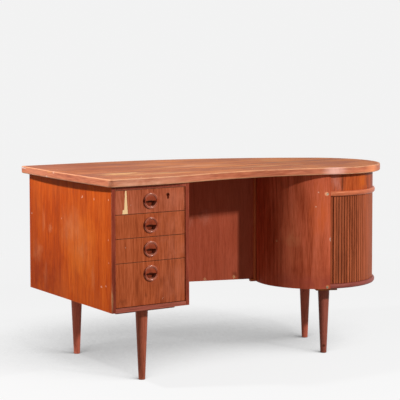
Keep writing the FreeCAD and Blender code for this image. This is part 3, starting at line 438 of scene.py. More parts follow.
    @classmethod
    def ragged_spot(cls) -> Tree:
        """One mark at a place: an ellipsoid whose border is moved in and out by noise.

        Returns:
            The group, which gives a mask.
        """
        graph, given = cls.start(
            Effect.SPOT, vectors("Vector", "Place", "Size") + floats("Ragged", "Softness"), floats("Mask")
        )
        apart = graph.vector("SUBTRACT", given["Vector"], given["Place"])
        away = graph.vector("DIVIDE", apart, given["Size"])
        moved = graph.vector("MULTIPLY", given["Place"], (40.0, 40.0, 40.0))
        near = graph.vector("ADD", graph.vector("MULTIPLY", away, (1.7, 1.7, 1.7)), moved)
        wobble = graph.swing(graph.noise(near, 1.0, 5.0, 0.65), given["Ragged"])
        lean = graph.times(wobble, SPOT_SHIFT)
        reach = graph.plus(graph.vector("LENGTH", away), lean)
        mask = graph.minus(1.0, graph.smooth(reach, graph.minus(1.0, given["Softness"]), 1.0))
        scuffs = graph.smooth(graph.layer(SCUFFS, near, 5.0, 0.62), *SCUFF_STEP)
        kept = graph.minus(1.0, graph.times(scuffs, given["Ragged"]), clamp=True)
        return cls.done(graph, Mask=graph.times(mask, kept))

    @classmethod
    def lifted_strip(cls) -> Tree:
        """A strip of missing veneer: what lies between two leaning lines and two levels of X and Z.

        Returns:
            The group, which gives a mask.
        """
        lines = ("Foot", "Head", "Left Foot", "Left Head", "Right Foot", "Right Head", "Softness")
        graph, given = cls.start(Effect.STRIP, vectors("Vector") + floats(*lines), floats("Mask"))
        across, _, up = graph.parts(given["Vector"])
        rise = graph.minus(given["Head"], given["Foot"])
        share = graph.math("DIVIDE", graph.minus(up, given["Foot"]), rise)
        torn = graph.swing(graph.noise(given["Vector"], TORN_FRAY, 3.0), TORN_SHIFT)
        inside = []
        for side, sign in (("Left", 1.0), ("Right", -1.0)):
            lean = graph.minus(given[side + " Head"], given[side + " Foot"])
            border = graph.plus(given[side + " Foot"], graph.times(lean, share))
            inside.append(graph.times(graph.minus(graph.plus(across, torn), border), sign))
        for border, sign in ((given["Foot"], 1.0), (given["Head"], -1.0)):
            inside.append(graph.times(graph.minus(up, border), sign))
        steps = [graph.smooth(depth, 0.0, given["Softness"]) for depth in inside]
        mask = steps[0]
        for step in steps[1:]:
            mask = graph.times(mask, step)
        return cls.done(graph, Mask=mask)

    @classmethod
    def round_the_drum(cls) -> Tree:
        """Unrolls the round cabinet: arc length from the angle about its axis, radius and height.

        Returns:
            The group, which gives the unrolled place and the angle.
        """
        graph, given = cls.start(
            Effect.DRUM, vectors("Vector", "Axis") + floats("Radius"), vectors("Place") + floats("Angle")
        )
        x, y, z = graph.parts(graph.vector("SUBTRACT", given["Vector"], given["Axis"]))
        angle = graph.math("ARCTAN2", y, x)
        radius = graph.math("SQRT", graph.plus(graph.times(x, x), graph.times(y, y)))
        place = graph.joined(graph.times(angle, given["Radius"]), radius, z)
        return cls.done(graph, Place=place, Angle=angle)

    @classmethod
    def along_the_rim(cls) -> Tree:
        """Turns the grain along the edge band: along Y where a face looks sideways, else along X.

        Returns:
            The group, which gives the turned place.
        """
        graph, given = cls.start(Effect.RIM, vectors("Vector", "Normal"), vectors("Place"))
        x, y, z = graph.parts(given["Vector"])
        sideways = graph.smooth(graph.math("ABSOLUTE", graph.parts(given["Normal"])[0]), *SIDEWAYS_STEP)
        along = graph.plus(graph.times(x, graph.minus(1.0, sideways)), graph.times(y, sideways))
        return cls.done(graph, Place=graph.joined(z, graph.times(sideways, 0.4), along))

    @classmethod
    def upward_faces(cls) -> Tree:
        """Faces that look up, and the rounded edges beside them, in ragged stretches: a mask for wear and
        painted highlight.

        Returns:
            The group, which gives a mask of the faces and one of the edges.
        """
        graph, given = cls.start(Effect.CROWN, vectors("Vector", "Normal"), floats("Faces", "Edges"))
        up = graph.math("ABSOLUTE", graph.parts(given["Normal"])[2])
        worn = graph.smooth(graph.noise(given["Vector"], WORN_CLOUDS, 4.0, 0.65), *WORN_STEP)
        faces = graph.times(graph.smooth(up, *UPWARD_STEP), worn)
        rounded = graph.times(*(graph.smooth(up, *step) for step in ROUNDED_STEPS))
        return cls.done(graph, Faces=faces, Edges=graph.times(rounded, worn))


@dataclass(frozen=True)
class Mark:
    """One mark at a place: a pale nick, a chip, a stain, a faded patch, painted light or painted shade.

    The size is its reach along each axis, and ragged says how far its border wanders.
    """

    place: Point
    size: Point
    colour: Colour
    strength: float = 1.0
    ragged: float = 0.8
    softness: float = 0.3


@dataclass(frozen=True)
class Strip:
    """A strip of missing veneer on a front, leaning between its foot and its head."""

    foot: float
    head: float
    left: tuple[float, float]
    right: tuple[float, float]
    colour: Colour
    softness: float = 0.0009


@dataclass(frozen=True)
class Zone:
    """Another wood along one axis of a piece: none of it at start, all of it from end on."""

    axis: int
    start: float
    end: float
    wood: "Wood"


@dataclass(frozen=True)
class Wood:
    """A wood finish: three tones, the run and strength of its grain, its gloss and its wear."""

    name: str
    pale: Colour
    mid: Colour
    dark: Colour
    run: Run = Run.UP
    figure: float = 0.3
    streak: float = 0.6
    pores: float = 0.5
    roughness: float = 0.48
    grain_gloss: float = 0.12
    specular: float = 0.2
    sheen: Colour = (1.0, 0.62, 0.38)
    bloom: float = 0.0
    bloom_colour: Colour = (0.62, 0.24, 0.12)
    bloom_scale: float = 6.0
    bloom_roughness: float = 0.14
    nicks: float = 0.012
    nick_size: float = 0.12
    nick_colour: Colour = (0.72, 0.46, 0.32)
    edge: float = 0.5
    edge_width: float = 0.0016
    edge_colour: Colour = (0.60, 0.27, 0.15)
    # crown and arris make upward faces and rounded edges paler: wear, and on the rim and the pulls partly
    # painted highlight.
    crown: float = 0.0
    crown_colour: Colour = (0.70, 0.36, 0.18)
    arris: float = 0.0
    arris_colour: Colour = (0.78, 0.45, 0.28)
    polish: float = 0.0
    polish_roughness: float = 0.14
    relief: float = 0.12
    relief_depth: float = 0.0006
    strip_depth: float = 3.0

    def place(self, graph: Graph, coordinates: Node, drum: "DrumPlace") -> Socket:
        """Turns object coordinates so that the grain runs along Z.

        Args:
            graph: the material's graph.
            coordinates: its Texture Coordinate node.
            drum: where the round cabinet's axis stands.

        Returns:
            The turned place.
        """
        plain = coordinates.outputs["Object"]
        if self.run is Run.UP:
            return plain
        if self.run is Run.RIM:
            turned = graph.effect(Effect.RIM, Vector=plain, Normal=coordinates.outputs["Normal"])
            return turned.outputs["Place"]
        if self.run in (Run.DRUM, Run.DRUM_LEVEL):
            unrolled = drum.unrolled(graph, plain).outputs["Place"]
            if self.run is Run.DRUM:
                return unrolled
            arc, radius, up = graph.parts(unrolled)
            return graph.joined(up, radius, arc)
        x, y, z = graph.parts(plain)
        return graph.joined(z, y, x) if self.run is Run.ACROSS else graph.joined(x, z, y)

    def grain(self, graph: Graph, turned: Socket, seed: float) -> Node:
        """Places the grain group with this wood's tones.

        Args:
            graph: the material's graph.
            turned: the place, with the grain along Z.
            seed: moves the grain.

        Returns:
            The group's node.
        """
        return graph.effect(
            Effect.GRAIN, Vector=turned, Pale=self.pale, Mid=self.mid, Dark=self.dark,
            Figure=self.figure, Streak=self.streak, Pores=self.pores, Seed=seed,
        )

    def tinted(self, graph: Graph, colour: Socket, plain: Socket, drum: "DrumPlace") -> Socket:
        """Leaves the grain's colour as it is; a finish with a tint of its own changes it here."""
        return colour

    def rubbed(
        self,
        graph: Surface,
        colour: Socket,
        piece: Piece,
        coordinates: Node,
        turned: Socket,
    ) -> Socket:
        """Makes the upward faces and rounded edges paler, which is wear and on the rim and pulls partly
        painted highlight; rubs the board edges and adds small nicks.

        Args:
            graph: the material's graph.
            colour: the colour so far.
            piece: the object, whose box gives the edges.
            coordinates: the Texture Coordinate node.
            turned: the place, with the grain along Z.

        Returns:
            The colour with its wear, and on the rim and pulls its painted highlight.
        """
        if self.crown > 0.0 or self.arris > 0.0:
            upward = graph.effect(Effect.CROWN, Vector=turned, Normal=coordinates.outputs["Normal"])
            faces, edges = upward.outputs["Faces"], upward.outputs["Edges"]
            colour = graph.mix(graph.times(faces, self.crown), colour, self.crown_colour)
            colour = graph.mix(graph.times(edges, self.arris), colour, self.arris_colour)
            if self.polish > 0.0:
                graph.feed("Coat Weight", graph.times(edges, self.polish))
                graph.feed("Coat Roughness", self.polish_roughness)
        if self.edge > 0.0:
            low, high = bounds_of(piece)
            frayed = graph.mask(
                Effect.EDGES, Vector=coordinates.outputs["Object"], Low=low, High=high,
                Width=self.edge_width, Amount=self.edge,
            )
            colour = graph.mix(frayed, colour, self.edge_colour)
        if self.nicks > 0.0:
            nicked = graph.mask(Effect.NICKS, Vector=turned, Rate=self.nicks, Size=self.nick_size)
            colour = graph.mix(nicked, colour, self.nick_colour)
        return colour

    def dress(
        self,
        piece: Piece,
        drum: "DrumPlace",
        seed: float = 0.0,
        marks: Sequence[Mark] = (),
        strips: Sequence[Strip] = (),
        zones: Sequence[Zone] = (),
    ) -> None:
        """Makes this finish for one piece and puts it on.

        Args:
            piece: the object that takes the material.
            drum: where the round cabinet's axis stands.
            seed: moves the grain, so that pieces differ.
            marks: marks of use at places of this piece.
            strips: missing veneer on this piece.
            zones: stretches of this piece in another wood.
        """
        graph = Surface(self.name, piece)
        coordinates = graph.node("ShaderNodeTexCoord")
        plain = coordinates.outputs["Object"]
        turned = self.place(graph, coordinates, drum)
        grain = self.grain(graph, turned, seed)
        height = grain.outputs["Height"]
        colour = self.tinted(graph, grain.outputs["Colour"], plain, drum)
        uneven = graph.swing(grain.outputs["Tone"], self.grain_gloss)
        rough = graph.plus(self.roughness, uneven)
        if self.bloom > 0.0:
            dry = graph.mask(Effect.BLOOM, Vector=turned, Scale=self.bloom_scale, Amount=self.bloom)
            colour = graph.mix(dry, colour, self.bloom_colour)
            rough = graph.plus(rough, graph.times(dry, self.bloom_roughness), clamp=True)
        for zone in zones:
            share = graph.smooth(graph.parts(plain)[zone.axis], zone.start, zone.end)
            colour = graph.mix(share, colour, zone.wood.grain(graph, turned, seed).outputs["Colour"])
        colour = self.rubbed(graph, colour, piece, coordinates, turned)
        for strip in strips:
            bare = graph.mask(
                Effect.STRIP, Vector=plain, Foot=strip.foot, Head=strip.head, Left_Foot=strip.left[0],
                Left_Head=strip.left[1], Right_Foot=strip.right[0], Right_Head=strip.right[1],
                Softness=strip.softness,
            )
            colour = graph.mix(bare, colour, strip.colour)
            sunk = graph.minus(grain.outputs["Height"], graph.times(bare, self.strip_depth))
            height = graph.math("MINIMUM", height, sunk)
        for mark in marks:
            spot = graph.mask(
                Effect.SPOT, Vector=plain, Place=mark.place, Size=mark.size, Ragged=mark.ragged,
                Softness=mark.softness,
            )
            colour = graph.mix(graph.times(spot, mark.strength), colour, mark.colour)
        graph.feed("Base Color", colour)
        graph.feed("Roughness", rough)
        graph.feed("Specular IOR Level", self.specular)
        graph.feed("Specular Tint", self.sheen)
        graph.raised(height, self.relief, self.relief_depth)


@dataclass(frozen=True)
class SlatWood(Wood):
    """A wood whose tone changes from slat to slat round the drum, with painted shade in the gaps between
    them.
    """

    spread: float = 0.5
    gap: float = 0.5

    def tinted(self, graph: Graph, colour: Socket, plain: Socket, drum: "DrumPlace") -> Socket:
        """Gives each slat a tone of its own, drawn from the number of its place, and dark edges: painted
        shade of the gaps.

        Args:
            graph: the material's graph.
            colour: the grain's colour.
            plain: the place in the piece's own axes.
            drum: where the axis stands.

        Returns:
            The colour with the slat's own tone.
        """
        angle = drum.unrolled(graph, plain).outputs["Angle"]
        turn = graph.math("FLOORED_MODULO", graph.minus(angle, drum.first), math.tau)
        count = graph.math("DIVIDE", turn, drum.pitch)
        number = graph.math("FLOOR", count)
        draw = graph.node("ShaderNodeTexWhiteNoise", {"W": number}, noise_dimensions="1D")
        darker = graph.times(draw.outputs["Value"], self.spread)
        # The dark slat edges are painted shade of the gaps between slats.
        off_middle = graph.math("ABSOLUTE", graph.minus(graph.math("FRACT", count), 0.5))
        gap_shade = graph.times(graph.smooth(off_middle, *SLAT_EDGE_STEP), self.gap)
        return graph.mix(gap_shade, graph.mix(darker, colour, self.dark), STAIN_AND_SHADE)


@dataclass(frozen=True)
class Metal:
    """A plain metal with fine brushing and a little tarnish."""

    name: str
    colour: Colour
    tarnish: Colour
    roughness: float = 0.26
    tarnish_roughness: float = 0.22
    relief: float = 0.1
    relief_depth: float = 0.0003

    def dress(self, piece: Piece) -> None:
        """Makes the metal for one piece and puts it on.

        Args:
            piece: the object that takes the material.
        """
        graph = Surface(self.name, piece)
        place = graph.node("ShaderNodeTexCoord").outputs["Object"]
        clouds = graph.smooth(graph.noise(place, TARNISH_CLOUDS, 4.0, 0.6), *TARNISH_STEP)
        brushed = graph.layer(BRUSHING, place, 1.0)
        rough = graph.plus(graph.times(clouds, self.tarnish_roughness), graph.times(brushed, BRUSHING.weight))
        graph.feed("Base Color", graph.mix(clouds, self.colour, self.tarnish))
        graph.feed("Roughness", graph.plus(rough, self.roughness, clamp=True))
        graph.feed("Metallic", 1.0)
        graph.raised(brushed, self.relief, self.relief_depth)


@dataclass(frozen=True)
class Canvas:
    """A plain woven cloth whose threads follow the piece's UV map, which is in metres."""

    name: str
    thread: Colour
    shade: Colour
    count: float = 1100.0
    slub: Point = (300.0, 18.0, 0.0)
    roughness: float = 0.85
    slub_roughness: float = 0.1
    specular: float = 0.15
    relief: float = 0.4
    relief_depth: float = 0.0003

    def dress(self, piece: Piece) -> None:
        """Makes the weave for one piece and puts it on: the product of two sines along the threads.

        Args:
            piece: the object that takes the material.
        """
        graph = Surface(self.name, piece)
        flat = graph.node("ShaderNodeUVMap", uv_map="weave").outputs["UV"]
        across, up, _ = graph.parts(flat)
        warp, weft = (graph.math("SINE", graph.times(way, self.count * math.pi)) for way in (across, up))
        weave = graph.plus(graph.times(graph.times(warp, weft), 0.5), 0.5)
        slubs = graph.noise(graph.vector("MULTIPLY", flat, self.slub), 1.0, 3.0)
        worn = graph.times(graph.plus(weave, slubs), 0.5)
        graph.feed("Base Color", graph.mix(worn, self.shade, self.thread))
        rough = graph.plus(graph.times(slubs, self.slub_roughness), self.roughness, clamp=True)
        graph.feed("Roughness", rough)
        graph.feed("Specular IOR Level", self.specular)
        graph.raised(weave, self.relief, self.relief_depth)


def spots_of(piece: Piece) -> np.ndarray:
    """Reads the points of a piece's own mesh.

    Args:
        piece: the object.

    Returns:
        The points, one to a row.
    """
    spots = np.empty(len(piece.data.vertices) * 3, np.float32)
    piece.data.vertices.foreach_get("co", spots)
    return spots.reshape(-1, 3).astype(float)


def bounds_of(piece: Piece) -> tuple[Vector, Vector]:
    """The lowest and highest corner of a piece's own mesh."""
    spots = spots_of(piece)
    return Vector(spots.min(axis=0)), Vector(spots.max(axis=0))


@dataclass(frozen=True)
class DrumPlace:
    """Where the round cabinet stands: its axis, its outer radius and how its slats follow each other."""

    axis: Point
    radius: float
    first: float
    pitch: float

    @classmethod
    def read(cls, frame: dict, slats: int = 49) -> "DrumPlace":
        """Takes the axis from the tambour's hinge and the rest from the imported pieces.

        Args:
            slats: how many slats there are.

        Returns:
            The drum's place.
        """
        hinge = next(joint for joint in frame["joints"] if joint["name"] == "tambour_turn")
        x, y, _ = hinge["pos_m"]
        shell = spots_of(frame["nodes"]["cabinet_front_shell"])
        radius = float(np.hypot(shell[:, 0] - x, shell[:, 1] - y).max())
        angles = np.sort(cls.angles(spots_of(frame["nodes"]["tambour_slats"]), x, y))
        gaps = np.diff(np.append(angles, angles[0] + math.tau))
        last = int(gaps.argmax())
        first = float(angles[(last + 1) % len(angles)])
        span = math.tau - float(gaps[last])
        return cls((x, y, 0.0), radius, first, span / slats)

    @staticmethod
    def angles(spots: np.ndarray, x: float, y: float) -> np.ndarray:
        """The angle of each point about an upright axis."""
        return np.arctan2(spots[:, 1] - y, spots[:, 0] - x)

    def unrolled(self, graph: Graph, place: Socket) -> Node:
        """The group that unrolls a place round the axis."""
        return graph.effect(Effect.DRUM, Vector=place, Axis=self.axis, Radius=self.radius)

    def at(self, degrees: float, height: float) -> Point:
        """A point on the drum.

        Args:
            degrees: its angle about the axis from X.
            height: its height above the floor.

        Returns:
            The point in the desk's axes.
        """
        turn = math.radians(degrees)
        x, y, _ = self.axis
        return x + self.radius * math.cos(turn), y + self.radius * math.sin(turn), height


CASE_SIDE = Wood(
    "case_side", pale=(0.66, 0.116, 0.013), mid=(0.49, 0.064, 0.005), dark=(0.30, 0.031, 0.002),
    figure=0.06, streak=0.70, specular=0.04, bloom=0.18, bloom_colour=(0.66, 0.17, 0.040), nicks=0.012,
    nick_colour=(0.86, 0.55, 0.38), edge=0.30, edge_colour=(0.66, 0.22, 0.09),
)
FRONT = Wood(
    "front", pale=(0.54, 0.124, 0.044), mid=(0.415, 0.082, 0.024), dark=(0.24, 0.039, 0.010),
    figure=0.10, streak=0.95, specular=0.14, bloom=0.10, bloom_colour=(0.50, 0.14, 0.055), edge=0.30,
    edge_width=0.0010, nicks=0.004,
)
FRONT_DRY = Wood(
    "front_dry", pale=(0.56, 0.145, 0.070), mid=(0.43, 0.096, 0.039), dark=(0.26, 0.046, 0.016),
    figure=0.10, streak=0.95, specular=0.14, bloom=0.25, bloom_colour=(0.54, 0.16, 0.080), edge=0.30,
    edge_width=0.0010, nicks=0.010,
)
FRAME_EDGE = Wood(
    "frame_edge", pale=(0.40, 0.080, 0.043), mid=(0.28, 0.050, 0.027), dark=(0.15, 0.025, 0.013),
    figure=0.05, streak=0.7, specular=0.2, edge=0.6, edge_colour=(0.50, 0.17, 0.09), nicks=0.02,
)
LOWER_RAIL = Wood(
    "lower_rail", pale=(0.50, 0.134, 0.087), mid=(0.37, 0.089, 0.058), dark=(0.23, 0.048, 0.029),
    run=Run.ACROSS, figure=0.05, streak=0.7, specular=0.2, edge=0.5, edge_colour=(0.52, 0.20, 0.12),
    nicks=0.02,
)
PANEL = Wood(
    "panel", pale=(0.52, 0.112, 0.058), mid=(0.41, 0.078, 0.036), dark=(0.26, 0.043, 0.018),
    figure=0.08, streak=0.42, specular=0.12, bloom=0.12, bloom_colour=(0.50, 0.14, 0.08),
    nicks=0.008, edge=0.4,
)
SHELL = Wood(
    "shell", pale=(0.70, 0.164, 0.084), mid=(0.55, 0.108, 0.046), dark=(0.30, 0.043, 0.014),
    run=Run.DRUM, figure=0.34, streak=0.60, specular=0.04, bloom=0.10, bloom_colour=(0.56, 0.17, 0.08),
    nicks=0.008, edge=0.0,
)
FRIEZE = Wood(
    "frieze", pale=(0.54, 0.108, 0.028), mid=(0.37, 0.060, 0.012), dark=(0.18, 0.024, 0.004),
    run=Run.DRUM, figure=0.22, streak=0.9, specular=0.15, edge=0.0,
)
PLATE = Wood(
    "plate", pale=(0.75, 0.240, 0.114), mid=(0.62, 0.171, 0.075), dark=(0.41, 0.094, 0.038),
    run=Run.DRUM_LEVEL, figure=0.10, streak=0.6, edge=0.0, roughness=0.4, specular=0.3,
)
PLATE_LOW = Wood(
    "plate_low", pale=(0.36, 0.088, 0.070), mid=(0.26, 0.056, 0.045), dark=(0.16, 0.031, 0.024),
    run=Run.DRUM_LEVEL, figure=0.10, streak=0.6, edge=0.0, roughness=0.45, specular=0.25,
)
SLATS = SlatWood(
    "slats", pale=(0.54, 0.142, 0.058), mid=(0.42, 0.098, 0.037), dark=(0.15, 0.029, 0.009),
    run=Run.DRUM, figure=0.03, streak=0.6, specular=0.15, edge=0.0, nicks=0.004, spread=0.30, gap=0.75,
)
TOP = Wood(
    "top", pale=(0.60, 0.205, 0.066), mid=(0.39, 0.100, 0.026), dark=(0.17, 0.031, 0.008),
    run=Run.ACROSS, figure=0.26, streak=0.95, roughness=0.55, specular=0.10, bloom=0.60,
    bloom_colour=(0.66, 0.245, 0.095), bloom_scale=5.0, nicks=0.02, edge=0.0,
)
TOP_DEEP = Wood(
    "top_deep", pale=(0.50, 0.176, 0.072), mid=(0.30, 0.078, 0.027), dark=(0.14, 0.026, 0.008),
    figure=0.24, streak=0.95,
)
# The rim's pale crown and arris colours are wear and partly painted highlight along its edges.
RIM = Wood(
    "rim", pale=(0.65, 0.212, 0.104), mid=(0.48, 0.126, 0.057), dark=(0.28, 0.060, 0.026),
    run=Run.RIM, figure=0.05, streak=1.0, bloom=0.30, bloom_colour=(0.68, 0.29, 0.18), roughness=0.45,
    specular=0.25, sheen=(1.0, 0.8, 0.65), nicks=0.03, nick_colour=(0.80, 0.56, 0.42), edge=0.0, crown=0.40,
    arris=0.48, crown_colour=(0.66, 0.29, 0.105), arris_colour=(0.86, 0.50, 0.25),
)
# The pull's pale crown and arris colours are painted highlights on its ring and lit lower bowl, with some
# wear on the arris.
PULL = Wood(
    "pull", pale=(0.44, 0.086, 0.034), mid=(0.33, 0.058, 0.023), dark=(0.19, 0.028, 0.011),
    figure=0.05, streak=0.5, roughness=0.36, specular=0.12, edge=0.0, nicks=0.0, crown=0.80,
    crown_colour=(0.86, 0.40, 0.28), arris=0.42, arris_colour=(0.74, 0.27, 0.16), polish=0.9,
)
# A dark wood for painted shade on a pull's left flank and base, with grime at the base.
GRIME_AND_SHADE = Wood(
    "wax", pale=(0.16, 0.030, 0.018), mid=(0.12, 0.021, 0.013), dark=(0.07, 0.012, 0.007), figure=0.05,
)
# A darker wood deep in a pull's mouth: grime and painted shade.
HOLLOW = Wood(
    "hollow", pale=(0.32, 0.062, 0.022), mid=(0.23, 0.040, 0.014), dark=(0.14, 0.022, 0.007), figure=0.05,
)
LEG = Wood(
    "leg", pale=(0.57, 0.149, 0.080), mid=(0.415, 0.101, 0.053), dark=(0.225, 0.049, 0.024),
    figure=0.06, streak=0.6, roughness=0.42, specular=0.25, edge=0.0, nicks=0.010,
)
LEG_DARK = Wood(
    "leg_dark", pale=(0.41, 0.110, 0.073), mid=(0.30, 0.077, 0.050), dark=(0.165, 0.038, 0.023),
    figure=0.06, streak=0.6, roughness=0.42, specular=0.25, edge=0.0, nicks=0.010,
)
# A paler copy of the leg wood for the rear legs: painted light where the desk shades them.
LEG_LIT = Wood(
    "leg_pale", pale=(0.76, 0.196, 0.118), mid=(0.58, 0.140, 0.083), dark=(0.32, 0.069, 0.038),
    figure=0.06, streak=0.6, roughness=0.42, specular=0.25, edge=0.0, nicks=0.010,
)
RAW = Wood(
    "raw", pale=(0.62, 0.25, 0.085), mid=(0.48, 0.165, 0.048), dark=(0.29, 0.080, 0.022),
    run=Run.DEEP, figure=0.2, streak=0.7, roughness=0.65, specular=0.12, edge=0.2,
)
BEAD = Wood(
    "bead", pale=(0.62, 0.17, 0.060), mid=(0.50, 0.12, 0.038), dark=(0.32, 0.07, 0.020),
    figure=0.05, streak=0.6, specular=0.15, edge=0.3,
)
BEECH = Wood(
    "beech", pale=(0.70, 0.47, 0.27), mid=(0.60, 0.38, 0.20), dark=(0.44, 0.25, 0.115),
    run=Run.DEEP, figure=0.12, streak=0.55, roughness=0.6, specular=0.2, edge=0.25,
    edge_colour=(0.5, 0.3, 0.16), nick_colour=(0.36, 0.22, 0.12),
)
INSIDE = Wood(
    "inside", pale=(0.50, 0.130, 0.055), mid=(0.38, 0.085, 0.032), dark=(0.23, 0.044, 0.014),
    figure=0.2, streak=0.6, specular=0.15, edge=0.3,
)
STEEL = Metal("steel", (0.30, 0.28, 0.25), (0.16, 0.12, 0.09), 0.36)
SCREW = Metal("screw", (0.40, 0.31, 0.22), (0.20, 0.14, 0.09), 0.49)
BRASS = Metal("brass", (0.72, 0.55, 0.25), (0.38, 0.26, 0.10))
CLOTH = Canvas("canvas", (0.34, 0.28, 0.20), (0.16, 0.12, 0.08))

BARE_WOOD: Colour = (0.98, 0.67, 0.34)
PALE_NICK: Colour = (0.88, 0.66, 0.50)
HAZE: Colour = (0.72, 0.30, 0.14)
HONEY: Colour = (0.86, 0.50, 0.20)
# A dark colour for real stains, and for painted shade in the slat gaps, on the left slats and round the
# keyhole.
STAIN_AND_SHADE: Colour = (0.10, 0.020, 0.008)
TAN: Colour = (0.66, 0.36, 0.17)
RUST: Colour = (0.30, 0.070, 0.028)
GOLD: Colour = (0.80, 0.20, 0.025)
OLIVE: Colour = (0.42, 0.160, 0.040)
# A near black for the painted shadow under a pull's lid.
LID_SHADOW: Colour = (0.025, 0.005, 0.003)
WINE: Colour = (0.24, 0.022, 0.003)
# A paler colour for painted light on the right half of the drawer fronts.
RIGHT_HALF_LIGHT: Colour = (0.56, 0.16, 0.085)


def soft(place: Point, size: Point, colour: Colour, strength: float, ragged: float = 0.6) -> Mark:
    """A mark that fades out from its middle, such as a hazy or faded patch."""
    return Mark(place, size, colour, strength, ragged, softness=0.95)


def linked(name: str, data: bpy.types.ID) -> Piece:
    """Makes an object and links it to the scene.

    Args:
        name: the object's name.
        data: its mesh, lamp or camera.

    Returns:
        The object.
    """
    made = bpy.data.objects.new(name, data)
    bpy.context.scene.collection.objects.link(made)
    return made


@dataclass
class SubAssembly:
    """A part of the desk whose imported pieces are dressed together."""

    frame: dict
    drum: DrumPlace

    def wood(
        self,
        finish: Wood,
        name: str,
        seed: float,
        marks: Sequence[Mark] = (),
        strips: Sequence[Strip] = (),
        zones: Sequence[Zone] = (),
    ) -> Piece:
        """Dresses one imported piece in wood.

        Args:
            finish: the wood.
            name: the piece's name.
            seed: moves the grain, so that pieces differ.
            marks: marks of use on it.
            strips: missing veneer on it.
            zones: stretches of it in another wood.

        Returns:
            The piece.
        """
        piece = self.frame["nodes"][name]
        finish.dress(piece, self.drum, seed, marks, strips, zones)
        return piece

    def metal(self, finish: Metal, name: str) -> Piece:
        """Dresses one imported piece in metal.

        Args:
            finish: the metal.
            name: the piece's name.

        Returns:
            The piece.
        """
        piece = self.frame["nodes"][name]
        finish.dress(piece)
        return piece


